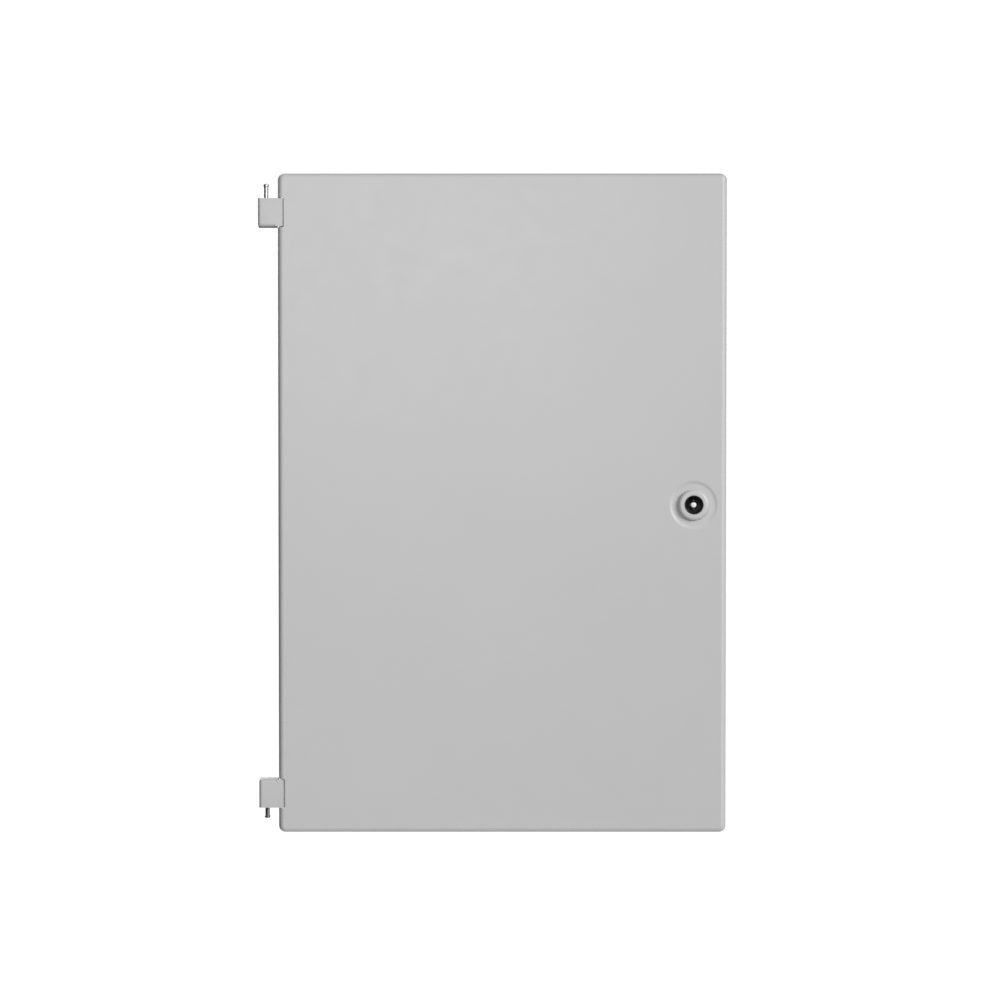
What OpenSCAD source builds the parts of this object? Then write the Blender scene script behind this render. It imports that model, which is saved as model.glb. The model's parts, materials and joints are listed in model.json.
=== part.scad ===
// Wall-mounted fire alarm control panel.
// A folded steel back box with a blank, lockable front door. The door hangs on two outside hinge
// lugs with spring pins and shuts with a quarter-turn cam lock. Inside are the chassis plate, the
// main board, the operator's display, the power supply and two standby batteries.
// Millimetres. +Z is up, the door faces -Y, and the origin is on the wall face, at the middle of
// the four wall fixing holes.

/* [Cabinet] */
// Width of the door leaf
door_w = 408; // [406:1:412]
// Height of the door leaf
door_h = 600; // [598:1:606]
// Depth from the wall to the door's front face
cabinet_d = 150; // [150:1:154]
// Depth of the door's folded edge
door_d = 20; // [19:1:20]
// Sheet steel thickness
sheet = 1.5; // [1.2:0.1:1.5]
// Corner radius of the door, seen from the front
door_corner_r = 6; // [5.5:0.5:8]
// Bend radius of the door's front edge
door_edge_r = 5; // [3:0.5:5]

/* [Hinges] */
// Height of the hinge lugs' middle above and below the door's middle
lug_z = 264.5; // [255:0.5:266]
// Height of a hinge lug
lug_h = 26; // [26:0.5:27]
// Distance of the pin's axis from the door's edge
pin_out = 11; // [11:0.5:12]
// Radius of the hinge pins
pin_r = 2; // [1.8:0.1:2]
// Length of the upper pin's free tail
upper_tail = 13.5; // [11:0.5:15]
// Length of the lower pin's free tail
lower_tail = 10.5; // [9:0.5:14]

/* [Lock] */
// Distance of the lock's axis from the door's right edge
lock_in = 30; // [30:0.5:32]
// Height of the lock's axis above the door's middle
lock_z = -1; // [-20:1:20]
// Radius of the lock's bezel
bezel_r = 14; // [13.5:0.5:15]
// Reach of the cam from the lock's axis
cam_reach = 22.5; // [20:0.5:22.5]

/* [Wall fixing] */
// Sideways distance between the wall fixing holes
fix_x = 356; // [350:1:358]
// Upright distance between the wall fixing holes
fix_z = 536; // [530:1:538]
// Radius of the wall fixing holes
fix_r = 3.5; // [3:0.25:4]
// Radius of the cable entries in the top
entry_r = 10.25; // [8.25:0.25:10.25]

/* [Batteries] */
// Width of a battery
battery_w = 151; // [145:1:151]
// Height of a battery's case
battery_h = 94; // [90:1:94]
// Depth of a battery
battery_d = 65; // [60:1:65]

/* [Hidden] */
$fn = 48;

// Faces of the door and of the back box
xd = door_w/2;
zd = door_h/2;
yf = -cabinet_d;             // front face of the door
yi = yf + sheet;             // inner face of the door's skin
yb = yf + door_d;            // rear edge of the door's flange
xb = xd - 4;                 // back box, half width
zb = zd - 4;                 // back box, half height
ybox = yb + 2.5;             // front of the back box's side walls
xn = xb - 6;                 // neck, half width
zn = zb - 6;                 // neck, half height
xl = xn - 5.5;               // front opening, half width
zl = zn - 5.5;               // front opening, half height
yn = yf + 10;                // front of the neck
// Hinge pin axis
px = -(xd + pin_out);
py = yf + 10;
// Lock
lx = xd - lock_in;
lz = lock_z;
dish = 0.8;                  // depth of the pressed dish round the lock
yls = yf + dish;             // skin's front face in the dish
// Chassis
yc = -15;                    // front face of the chassis plate
// Earth studs: their height, and the side wall's distance from the wall face
esz = -60;
esy = yi + 72.5;
// Operator's display
yh = -108;                   // front face of the display housing
yhr = -84;                   // its open rear
ydb = -88.4;                 // rear face of the display board
// Greys
paint = [0.76, 0.76, 0.76];
zinc = [0.72, 0.73, 0.74];
steel = [0.62, 0.63, 0.65];

// ---------- helpers ----------
module bx(x0, x1, y0, y1, z0, z1) translate([x0, y0, z0]) cube([x1 - x0, y1 - y0, z1 - z0]);
module cyl_y(x, z, y0, y1, r) translate([x, y0, z]) rotate([-90, 0, 0]) cylinder(r = r, h = y1 - y0);
module cyl_z(x, y, z0, z1, r) translate([x, y, z0]) cylinder(r = r, h = z1 - z0);
module cyl_x(y, z, x0, x1, r) translate([x0, y, z]) rotate([0, 90, 0]) cylinder(r = r, h = x1 - x0);
// A hexagon along Y with flats facing +X and -X
module hex_y(x, z, y0, y1, af) translate([x, y0, z]) rotate([-90, 0, 0]) rotate([0, 0, 30])
    cylinder(r = af/2/cos(30), h = y1 - y0, $fn = 6);
// A plate with round corners in X and Z, about the Y axis
module rplate(w, h, r, y0, y1) {
    bx(-w/2 + r, w/2 - r, y0, y1, -h/2, h/2);
    bx(-w/2, w/2, y0, y1, -h/2 + r, h/2 - r);
    for (sx = [-1, 1], sz = [-1, 1]) cyl_y(sx*(w/2 - r), sz*(h/2 - r), y0, y1, r);
}
module rplate_at(x0, x1, z0, z1, r, y0, y1)
    translate([(x0 + x1)/2, 0, (z0 + z1)/2]) rplate(x1 - x0, z1 - z0, r, y0, y1);
// A tray's outer form: round corners, and a round edge at the front
module pillow(w, h, rc, re, y0, y1) hull() for (sx = [-1, 1], sz = [-1, 1])
    translate([sx*(w/2 - rc), 0, sz*(h/2 - rc)]) {
        cyl_y(0, 0, y0 + re, y1, rc, $fn = 32);
        for (a = [15:15:90]) cyl_y(0, 0, y0 + re - re*sin(a), y0 + re - re*sin(a) + 0.02, rc - re + re*cos(a), $fn = 32);
    }

// Sweeps a round tube along a list of points
function unit(v) = v/norm(v);
function cr(p0, p1, p2, p3, t) = 0.5*((2*p1) + (p2 - p0)*t + (2*p0 - 5*p1 + 4*p2 - p3)*t*t + (3*p1 - p0 - 3*p2 + p3)*t*t*t);
function smooth(p, n) = let (m = len(p)) [for (i = [0:m - 2], k = [0:n - 1])
    cr(p[max(i - 1, 0)], p[i], p[i + 1], p[min(i + 2, m - 1)], k/n), p[m - 1]];
function tangent(p, i) = unit(p[min(i + 1, len(p) - 1)] - p[max(i - 1, 0)]);
module tube(route, r, n = 4, ref = [0.31, 0.87, 0.21], sides = 8) {
    p = smooth(route, n);
    m = len(p);
    pts = [for (i = [0:m - 1]) let (t = tangent(p, i), u = unit(cross(t, ref)), v = cross(t, u))
        for (k = [0:sides - 1]) p[i] + r*(cos(360*k/sides)*u + sin(360*k/sides)*v)];
    polyhedron(points = pts, faces = concat(
        [[for (k = [0:sides - 1]) k]],
        [for (i = [0:m - 2], k = [0:sides - 1]) [i*sides + k, (i + 1)*sides + k, (i + 1)*sides + (k + 1)%sides, i*sides + (k + 1)%sides]],
        [[for (k = [0:sides - 1]) (m - 1)*sides + sides - 1 - k]]), convexity = 6);
}

// ---------- back box ----------
entries = [-154, -110, -66, -22, 22, 66, 110, 154];
open_entries = [-154, 154];
entry_y = -62;
module back_box() color(paint) difference() {
    rplate(2*xb, 2*zb, 3, ybox + sheet, 0);
    rplate(2*(xb - sheet), 2*(zb - sheet), 1.6, ybox, -sheet);
    for (sx = [-1, 1], sz = [-1, 1]) cyl_y(sx*fix_x/2, sz*fix_z/2, -sheet - 1, 1, fix_r);
    bx(-172, 172, entry_y - 17, entry_y + 17, zb - sheet - 1, zb + 1);
    for (s = [-1, 1], y = [12, 32]) cyl_x(ybox + y, s*kzm, -xb - 1, -xb + sheet + 1, 2.6);
}
// The folded rim that closes the box's front edge and stands into the door
module box_rim() color(paint) difference() {
    union() {
        rplate(2*xb, 2*zb, 3, ybox, ybox + sheet);
        rplate(2*xn, 2*zn, 6, yn, ybox + sheet);
    }
    rplate(2*(xn - sheet), 2*(zn - sheet), 4.5, yn + sheet, ybox + sheet + 1);
    rplate(2*xl, 2*zl, 2.5, yn - 1, yn + sheet + 1);
}
module blanking_plugs() color([0.66, 0.66, 0.67]) for (x = entries) if (len(search(x, open_entries)) == 0) {
    cyl_z(x, entry_y, zb - sheet, zb - sheet + 1.8, entry_r + 2.2);
    cyl_z(x, entry_y, zb - 2*sheet - 4, zb - sheet, entry_r - 0.1);
}
// Plate with the cable entries, fixed under the opening in the top
module gland_plate() color(paint) difference() {
    bx(-184, 184, entry_y - 29, entry_y + 29, zb - 2*sheet, zb - sheet);
    for (x = entries) cyl_z(x, entry_y, zb - 2*sheet - 1, zb, entry_r);
}
module gland_plate_nuts() color(zinc) for (x = [-165, -55, 55, 165], y = [-23, 23]) {
    cyl_z(x, entry_y + y, zb - 2*sheet - 4.8, zb - 2*sheet, 2);
    translate([x, entry_y + y, zb - 2*sheet - 3.2]) cylinder(r = 4.04, h = 3.2, $fn = 6);
}

// ---------- hinges ----------
// Everything here is drawn for the upper hinge; the lower one is its mirror image.
zi = lug_z - lug_h/2;        // inner end of the lug
zo = lug_z + lug_h/2;        // outer end of the lug
kz0 = zi + 2.5;              // knuckle
kz1 = kz0 + 6.5;
kzm = (kz0 + kz1)/2;
lug_x0 = px - 7;
lug_y0 = yi;
module hinge_bracket() color(paint) difference() {
    union() {
        cyl_z(px, py, kz0, kz1, 4.3);
        bx(px, -xb, py - 2, py + 2, kz0, kz1);
        bx(-xb - 3, -xb, py - 2, ybox + 6, kz0, kz1);
        bx(-xb - 3, -xb, ybox + 3, ybox + 40, kz0 - 12, kz1 + 12);
    }
    cyl_z(px, py, kz0 - 1, kz1 + 1, pin_r + 0.05);
    for (y = [12, 32]) cyl_x(ybox + y, kzm, -xb - 4, -xb + 1, 2.6);
}
module hinge_lug() color(paint) difference() {
    union() {
        hull() {
            translate([lug_x0 + 3, lug_y0 + 3, zi + 3]) sphere(r = 3, $fn = 32);
            cyl_z(lug_x0 + 3, lug_y0 + 3, zo - 2, zo, 3, $fn = 32);
            cyl_x(lug_y0 + 3, zi + 3, -xd - 2, -xd - 1, 3, $fn = 32);
            bx(lug_x0, -xd - 1, py + 3, py + 4, zi, zo);
            bx(-xd - 2, -xd - 1, lug_y0, py + 4, zi + 6, zo);
        }
        bx(-xd - 2, -xd + 36, lug_y0, lug_y0 + 2, zi + 0.6, zo);
    }
    bx(lug_x0 + 2, -xd + 2, lug_y0 + 2, py + 5, zi + 2, zo - 2);
    bx(lug_x0 - 1, lug_x0 + 3, py + 1.5, py + 5, zi + 2, zo - 2);
    cyl_z(px, py, zi - 1, zo + 1, pin_r + 0.06);
    for (z = [-7, 7]) cyl_y(-xd + 26, lug_z + z, lug_y0 - 1, lug_y0 + 3, 2.15);
}
clip_z = kz1 + 0.35;
module hinge_pin(tail) color(zinc) {
    cyl_z(px, py, zi + 0.2, zo + tail - 2.4, pin_r);
    translate([px, py, zo + tail - 2.4]) cylinder(r1 = pin_r, r2 = pin_r + 0.45, h = 0.5);
    cyl_z(px, py, zo + tail - 1.9, zo + tail - 0.6, pin_r + 0.45);
    translate([px, py, zo + tail - 0.6]) cylinder(r1 = pin_r + 0.45, r2 = pin_r - 0.3, h = 0.6);
    // retaining clip
    difference() {
        cyl_z(px, py, clip_z, clip_z + 0.8, 3.7);
        cyl_z(px, py, clip_z - 1, clip_z + 2, pin_r);
        bx(px + 0.5, px + 5, py - 1.5, py + 1.5, clip_z - 1, clip_z + 2);
    }
}
module pin_spring() color(steel) difference() {
    cyl_z(px, py, clip_z + 0.8, zo - 2, 3.4);
    cyl_z(px, py, clip_z, zo, 2.6);
}
module hinge_bracket_screws() color(zinc) for (s = [-1, 1]) for (y = [12, 32]) {
    cyl_x(ybox + y, s*kzm, -xb - 5.4, -xb - 3, 4.5);
    cyl_x(ybox + y, s*kzm, -xb - 3.2, -xb + sheet + 5, 2.5);
}
module hinge_lug_nuts() color(zinc) for (s = [-1, 1]) for (z = [-7, 7]) {
    hex_y(-xd + 26, s*(lug_z + z), lug_y0 + 2, lug_y0 + 5.2, 7);
    cyl_y(-xd + 26, s*(lug_z + z), yi, lug_y0 + 7, 2);
}

// ---------- door ----------
module door_leaf() color(paint) difference() {
    union() {
        difference() {
            pillow(2*xd, 2*zd, door_corner_r, door_edge_r, yf, yb);
            pillow(2*(xd - sheet), 2*(zd - sheet), door_corner_r - sheet, door_edge_r - sheet, yi, yb + 1);
        }
        cyl_y(lx, lz, yi - 0.3, yi + dish, 22.5);
    }
    translate([lx, yf - 0.01, lz]) rotate([-90, 0, 0]) cylinder(r1 = 21.5, r2 = 19.5, h = dish + 0.01);
    cyl_y(lx, lz, yf - 1, yi + dish + 1, 11.2);
    for (s = [-1, 1]) bx(-xd - 1, -xd + 6, yf - 1, yb + 1, s*lug_z - lug_h/2 - 1, s*lug_z + lug_h/2 + 1);
}
gx = xl - 0.5;               // gasket's inner half width
gz = zl - 0.5;
module door_gasket() color([0.16, 0.16, 0.17]) difference() {
    rplate(2*(gx + 9), 2*(gz + 9), 6, yi, yn - 0.3);
    rplate(2*gx, 2*gz, 3, yi - 1, yn + 1);
    for (s = [-1, 1]) bx(-xd, -xd + 37, yi - 1, yi + 2.2, s*lug_z - lug_h/2 - 0.2, s*lug_z + lug_h/2 + 0.2);
    cyl_y(lx, lz, yi - 1, yi + dish + 0.3, 22.8);
}
module stiffener(x) difference() {
    union() {
        bx(x - 11, x + 11, yi, yi + 1.2, -262, 262);
        bx(x - 6, x + 6, yi, yi + 9, -262, 262);
    }
    bx(x - 4.8, x + 4.8, yi - 1, yi + 7.8, -263, 263);
}
module door_stiffeners() color(paint) { stiffener(-154); stiffener(140); }
// Open-topped pocket for the log book
pkx0 = -122; pkx1 = 108; pkz0 = -232; pkz1 = -62;
module document_pocket() color([0.82, 0.83, 0.84]) difference() {
    bx(pkx0, pkx1, yi, yi + 20, pkz0, pkz1);
    bx(pkx0 + 1.8, pkx1 - 1.8, yi + 1.8, yi + 18.2, pkz0 + 1.8, pkz1 + 1);
    bx(pkx0 - 1, pkx1 + 1, yi + 12, yi + 21, pkz1 - 30, pkz1 + 1);
    cyl_y((pkx0 + pkx1)/2, pkz1 - 30, yi + 12, yi + 21, 34);
}
// Earth stud on the door, with its nut
module door_earth_stud() color(zinc) { cyl_y(-176, esz, yi, yi + 12, 2.5); hex_y(-176, esz, yi + 7, yi + 10, 8); }
strap = [[-176, yi + 6.2, esz - 4.85], [-177, yi + 7, esz - 18], [-178, yi + 14, esz - 40], [-180, yi + 28, esz - 58],
    [-182, yi + 44, esz - 60], [-186, yi + 58, esz - 46], [-190, yi + 66, esz - 28], [-193.6, yi + 71, esz - 14], [-194.5, esy, esz - 4.85]];
module door_earth_strap() color([0.45, 0.62, 0.18]) {
    tube(strap, 2.2, 5);
    // eyelet on the door's stud
    difference() { cyl_y(-176, esz, yi + 5.6, yi + 6.8, 5); cyl_y(-176, esz, yi + 4, yi + 8, 2.6); }
    // eyelet on the side wall's stud
    difference() { cyl_x(esy, esz, -xb + sheet + 3.4, -xb + sheet + 4.6, 5); cyl_x(esy, esz, -xb, -xb + 9, 2.6); }
}

// ---------- lock ----------
module about_lock() translate([lx, 0, lz]) rotate([-90, 0, 0]) children();
module lock_housing() color([0.80, 0.80, 0.80]) difference() {
    about_lock() rotate_extrude($fn = 64) polygon(concat(
        [[0, yls - 0.5], [bezel_r, yls - 0.5]],
        [for (a = [0:15:75]) [bezel_r - 2.6 + 2.6*cos(a), yls - 2.0 - 2.4*sin(a)]],
        [[bezel_r - 3.6, yls - 4.5], [0, yls - 4.5]]));
    cyl_y(lx, lz, yls - 6, yls, 8.6);
}
module lock_body() color([0.80, 0.80, 0.80]) difference() {
    cyl_y(lx, lz, yls - 0.5, ybox + sheet - 0.1, 10.9);
    cyl_y(lx, lz, yls - 2, yb - 1, 8.6);
    cyl_y(lx, lz, yb - 2, ybox + 3, 5.05);
}
module lock_housing_all() union() { lock_housing(); lock_body(); }
module lock_seal() color([0.12, 0.12, 0.12]) difference() {
    cyl_y(lx, lz, yls - 0.5, yls, 13.2);
    cyl_y(lx, lz, yls - 2, yls + 1, 10.95);
}
module lock_nut() color(zinc) difference() {
    hex_y(lx, lz, yi + dish, yi + dish + 5, 26);
    cyl_y(lx, lz, yi, yi + 8, 10.95);
}
cam_y = ybox + sheet + 0.4;
module lock_barrel() color([0.13, 0.13, 0.14]) {
    difference() {
        cyl_y(lx, lz, yls - 3.4, yb - 1.3, 8.55);
        cyl_y(lx, lz, yls - 5, yls + 10.6, 7.6);
    }
    cyl_y(lx, lz, yls - 1.4, yls + 11, 2.5);
    bx(lx - 1, lx + 1, yls - 1.4, yls + 11, lz - 4.6, lz + 4.6);
    cyl_y(lx, lz, yb - 2, cam_y - 0.1, 5);
    bx(lx - 3.5, lx + 3.5, cam_y - 0.2, cam_y + 3, lz - 3.5, lz + 3.5);
}
module lock_cam() color(zinc) difference() {
    union() {
        cyl_y(lx, lz, cam_y, cam_y + 2.5, 9);
        cyl_y(lx, lz - cam_reach + 9, cam_y, cam_y + 2.5, 9);
        bx(lx - 9, lx + 9, cam_y, cam_y + 2.5, lz - cam_reach + 9, lz);
    }
    bx(lx - 3.55, lx + 3.55, cam_y - 1, cam_y + 4, lz - 3.55, lz + 3.55);
}
module cam_screw() color(zinc) { hex_y(lx, lz, cam_y + 3, cam_y + 6.5, 8); }

// ---------- chassis ----------
cx = 160; cz0 = -185; cz1 = 255;
stud_at = [[-148, -172], [148, -172], [-148, 243], [148, 243]];
module chassis_plate() color(zinc) difference() {
    union() {
        bx(-cx, cx, yc, yc + sheet, cz0, cz1);
        for (s = [-1, 1]) bx(s*(cx - sheet/2) - sheet/2, s*(cx - sheet/2) + sheet/2, yc - 10, yc + sheet, cz0, cz1);
    }
    for (p = stud_at) cyl_y(p[0], p[1], yc - 1, yc + 3, 3.3);
}
module chassis_fixings() color(zinc) for (p = stud_at) {
    difference() { cyl_y(p[0], p[1], yc + sheet, -sheet, 5.5); cyl_y(p[0], p[1], yc, 0, 3.1); }
    cyl_y(p[0], p[1], yc - 8, -sheet, 3);
    difference() { hex_y(p[0], p[1], yc - 5, yc, 10); cyl_y(p[0], p[1], yc - 6, yc + 1, 3.05); }
}
// The side wall's earth stud and its nut
module wall_earth_stud() color(zinc) {
    cyl_x(esy, esz, -xb + sheet, -xb + sheet + 11, 2.5);
    translate([-xb + sheet + 4.8, esy, esz]) rotate([0, 90, 0]) cylinder(r = 4.62, h = 3.4, $fn = 6);
}

// ---------- main board ----------
bxm = 138; bz0 = -62; bz1 = 230;
ym = yc - 10;                // rear face of the board
yt = ym - 1.6;               // its front face
stand_at = [[-131, -36], [131, -36], [-131, 84], [131, 84], [-131, 222], [131, 222]];
module main_board() color([0.05, 0.30, 0.17]) difference() {
    bx(-bxm, bxm, yt, ym, bz0, bz1);
    for (p = stand_at) cyl_y(p[0], p[1], yt - 1, ym + 1, 1.7);
}
card_at = [[14, -86], [142, -86], [14, -136], [142, -136]];
module expansion_board() color([0.05, 0.30, 0.17]) difference() {
    bx(8, 148, yt, ym, -142, -80);
    for (p = card_at) cyl_y(p[0], p[1], yt - 1, ym + 1, 1.7);
}
module board_fixings() color(zinc) for (p = concat(stand_at, card_at)) {
    difference() { hex_y(p[0], p[1], ym, yc, 5.5); cyl_y(p[0], p[1], ym - 1, ym + 7, 1.45); }
    cyl_y(p[0], p[1], yt - 2, yt, 2.9);
    cyl_y(p[0], p[1], yt, ym + 5, 1.4);
}
// A screw terminal block: n ways at 5 mm, wires enter from below
module terminal_block(x, z, n, flip = 1) {
    w = 5*n + 1;
    translate([x - w/2, yt, z]) mirror([0, 0, flip > 0 ? 0 : 1]) difference() {
        rotate([90, 0, 90]) linear_extrude(w)
            polygon([[0, 0], [0, 11], [-11, 11], [-15.5, 7.5], [-15.5, 3], [-11, 0]]);
        for (k = [0:n - 1]) {
            translate([5*k + 3, -9, 5.3]) rotate([90, 0, 0]) cylinder(r = 1.9, h = 10, $fn = 24);
            translate([5*k + 1.2, -8.6, -1]) cube([3.6, 5, 4.5]);
        }
    }
}
block_x = [-108, -72, -36, 0, 36, 72, 108];
module terminal_blocks() color([0.10, 0.42, 0.20]) {
    for (x = block_x) terminal_block(x, bz0 + 2, 6);
    for (x = [40, 78, 116]) terminal_block(x, -140, 6);
}
relay_at = [[30, 4], [54, 4], [78, 4], [102, 4], [30, -100], [54, -100], [78, -100]];
module relays() color([0.10, 0.13, 0.30]) for (p = relay_at)
    bx(p[0] - 9.5, p[0] + 9.5, yt - 15, yt, p[1] - 8, p[1] + 8);
cap_at = [[-118, -18, 8, 24], [-98, -18, 8, 24], [-78, -18, 5, 16], [-64, -18, 5, 16], [-118, 4, 5, 14], [-104, 4, 5, 14],
    [120, 30, 6.3, 18], [120, 48, 6.3, 18], [122, -100, 5, 14], [134, -100, 5, 14]];
module capacitors() color([0.12, 0.13, 0.20]) for (p = cap_at) cyl_y(p[0], p[1], yt - p[3], yt, p[2]);
chip_at = [[-30, 40, 28, 28, 2.8], [12, 46, 20, 12, 2.6], [12, 28, 20, 12, 2.6], [-78, 42, 18, 11, 3.2], [-78, 24, 18, 11, 3.2],
    [-78, 60, 18, 11, 3.2], [-30, 8, 12, 12, 2], [52, 46, 14, 9, 2.4], [78, 46, 14, 9, 2.4], [100, -122, 12, 9, 2.4], [60, -122, 14, 9, 2.4]];
module chips() color([0.08, 0.08, 0.09]) {
    for (p = chip_at) bx(p[0] - p[2]/2, p[0] + p[2]/2, yt - p[4], yt, p[1] - p[3]/2, p[1] + p[3]/2);
    // ribbon header
    difference() { bx(52, 92, yt - 9, yt, 66, 75); bx(53.5, 90.5, yt - 10, yt - 2, 67.5, 73.5); }
}
fuse_at = [[-44, -20], [-14, -20]];
module board_fuses() color([0.75, 0.76, 0.78]) for (p = fuse_at) {
    cyl_x(yt - 7, p[1], p[0] - 10, p[0] + 10, 2.6);
    for (s = [-1, 1]) difference() {
        bx(p[0] + s*7 - 2.5, p[0] + s*7 + 2.5, yt - 9, yt, p[1] - 4, p[1] + 4);
        cyl_x(yt - 7, p[1], p[0] + s*7 - 3, p[0] + s*7 + 3, 2.6);
    }
}

// ---------- power supply ----------
module power_supply_case() color(zinc) difference() {
    union() {
        bx(-141.5, -42, yc - 40, yc, -178, -82);
        bx(-43, -20, yc - 2, yc, -178, -82);
        for (z = [-178, -83.2]) bx(-43, -20, yc - 22, yc, z, z + 1.2);
    }
    bx(-140.3, -43.2, yc - 38.8, yc - 1.2, -176.8, -83.2);
    bx(-44, -41, yc - 22, yc - 3, -174, -86);
}
module power_supply_terminals() color([0.10, 0.10, 0.11]) difference() {
    bx(-40, -22, yc - 20, yc - 3, -172, -88);
    for (k = [0:6]) bx(-37, -21, yc - 21, yc - 11, -170.5 + 12*k, -162.5 + 12*k);
}
module mains_terminal_block() color([0.86, 0.86, 0.84]) difference() {
    bx(8, 62, yc - 26, yc, -180, -152);
    for (k = [0:3]) {
        bx(10.5 + 13*k, 20.5 + 13*k, yc - 27, yc - 18, -178, -170);
        bx(10.5 + 13*k, 20.5 + 13*k, yc - 27, yc - 18, -162, -154);
    }
}
module earth_bar() color([0.80, 0.66, 0.36]) {
    bx(74, 140, yc - 16, yc - 10, -172, -162);
    for (x = [79, 135]) cyl_y(x, -167, yc - 10, yc, 4);
    for (k = [0:4]) cyl_y(88 + 9.5*k, -167, yc - 18.4, yc - 16, 3);
}

// ---------- batteries ----------
bat_z0 = -(zb - sheet);
bat_y1 = -20;
module battery(x0) {
    bx(x0, x0 + battery_w, bat_y1 - battery_d, bat_y1, bat_z0, bat_z0 + battery_h - 12);
    bx(x0 + 1, x0 + battery_w - 1, bat_y1 - battery_d + 1, bat_y1 - 1, bat_z0 + battery_h - 12, bat_z0 + battery_h);
}
blx = -157; brx = 157 - battery_w;
module battery_left() color([0.14, 0.14, 0.15]) battery(blx);
module battery_right() color([0.14, 0.14, 0.15]) battery(brx);
bty = bat_y1 - battery_d + 9;
btz = bat_z0 + battery_h;
tab_x = [blx + 9, blx + battery_w - 9, brx + 9, brx + battery_w - 9];
module battery_terminals() color([0.75, 0.76, 0.78]) for (x = tab_x) bx(x - 3.2, x + 3.2, bty - 0.4, bty + 0.4, btz, btz + 8);
module battery_bracket() color(zinc) {
    y0 = bat_y1 - battery_d - 2.1;
    z0 = bat_z0 + 49; z1 = z0 + 25;
    bx(-161, 161, y0, y0 + 1.5, z0, z1);
    for (s = [-1, 1]) {
        bx(s*160.25 - 0.75, s*160.25 + 0.75, y0, -sheet, z0, z1);
        bx(s*168.5 - 9, s*168.5 + 9, -sheet - 1.5, -sheet, z0, z1);
        cyl_y(s*170, (z0 + z1)/2, -sheet - 4.2, -sheet - 1.5, 4);
    }
}

// ---------- leads ----------
lead_r = 1.6;
wy = yt - 6.1;               // where wires enter the terminal blocks
red_lead = [[tab_x[3], bty, btz + 11], [tab_x[3], bty, btz + 19], [tab_x[3] + 8, bty + 6, btz + 29], [168, -48, btz + 46], [170.5, -40, btz + 66],
    [170.5, -36, btz + 90], [168, -33, btz + 112], [156, -32.6, btz + 124], [134, wy, btz + 126], [117.5, wy, btz + 130], [115.5, wy, bz0 + 4.2]];
black_lead = [[tab_x[0], bty, btz + 11], [tab_x[0], bty, btz + 19], [tab_x[0] - 8, bty + 6, btz + 29], [-168, -48, btz + 46], [-170.5, -40, btz + 66],
    [-170.5, -36, btz + 90], [-168, -33, btz + 112], [-156, -32.6, btz + 124], [-138, wy, btz + 126], [-122.5, wy, btz + 130], [-120.5, wy, bz0 + 4.2]];
link_lead = [[tab_x[1], bty, btz + 11], [tab_x[1], bty, btz + 18], [tab_x[1] + 4, bty - 1, btz + 24], [0, bty - 2, btz + 27],
    [tab_x[2] - 4, bty - 1, btz + 24], [tab_x[2], bty, btz + 18], [tab_x[2], bty, btz + 11]];
// Push-on receptacle round a battery's tab
module boot(x) difference() {
    bx(x - 4.3, x + 4.3, bty - 2.2, bty + 2.2, btz + 1.2, btz + 12);
    bx(x - 3.25, x + 3.25, bty - 0.45, bty + 0.45, btz, btz + 8.2);
}
module battery_lead_red() color([0.75, 0.08, 0.06]) { tube(red_lead, lead_r, 4); boot(tab_x[3]); }
module battery_lead_black() color([0.05, 0.05, 0.05]) { tube(black_lead, lead_r, 4); boot(tab_x[0]); }
module battery_link_lead() color([0.05, 0.05, 0.05]) { tube(link_lead, lead_r, 4); boot(tab_x[1]); boot(tab_x[2]); }
function psu_z(k) = -166.5 + 12*k;
supply_routes = [
    // live, neutral and earth, from the mains block to the supply
    [[15.5, yc - 20, -158], [15.5, yc - 27, -158], [13.5, yc - 31, -153], [4, yc - 31, -149.5], [-8, yc - 27, -154], [-17, yc - 20, -163], [-27, yc - 16, psu_z(0)]],
    [[28.5, yc - 20, -158], [28.5, yc - 27, -158], [27.5, yc - 33, -151], [16, yc - 36, -142], [-6, yc - 33, -142], [-16, yc - 23, -151], [-27, yc - 16, psu_z(1)]],
    [[41.5, yc - 20, -158], [41.5, yc - 27, -158], [41, yc - 35, -149], [26, yc - 41, -133], [-2, yc - 38, -131], [-15, yc - 26, -138], [-27, yc - 16, psu_z(2)]],
    // direct current, from the supply to the main board
    [[-27, yc - 16, psu_z(5)], [-14, yc - 24, -104], [-5, yc - 27, -90], [-12, yc - 27, -75], [-40, yc - 23, -69], [-65, wy - 1, -68], [-69.5, wy, bz0 + 4.2]],
    [[-27, yc - 16, psu_z(6)], [-17, yc - 22, -92], [-15.5, yc - 23.5, -83], [-26, yc - 23, -78], [-58, yc - 20, -77], [-80, wy - 1, -74], [-84.5, wy, bz0 + 4.2]]
];
module supply_leads() color([0.30, 0.22, 0.14]) for (p = supply_routes) tube(p, 1.3, 4);
// Flat ribbon: a bent strip in the Y-Z plane
rib = [[yt - 3, 70.5], [yt - 12, 70.5], [yt - 20, 72], [yt - 27, 77], [yt - 34, 87], [yt - 42, 98], [yt - 50, 105.5], [ydb + 5.5, 108.2], [ydb + 1.4, 108.5]];
rs = smooth([for (p = rib) [p[0], p[1], 0]], 3);
function rn(i) = let (t = tangent(rs, i)) [-t[1], t[0]];
module ribbon_cable() color([0.62, 0.64, 0.67]) translate([54, 0, 0]) rotate([90, 0, 90]) linear_extrude(36)
    polygon(concat([for (i = [0:len(rs) - 1]) [rs[i][0], rs[i][1]] + 0.5*rn(i)],
        [for (i = [len(rs) - 1:-1:0]) [rs[i][0], rs[i][1]] - 0.5*rn(i)]));

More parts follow.
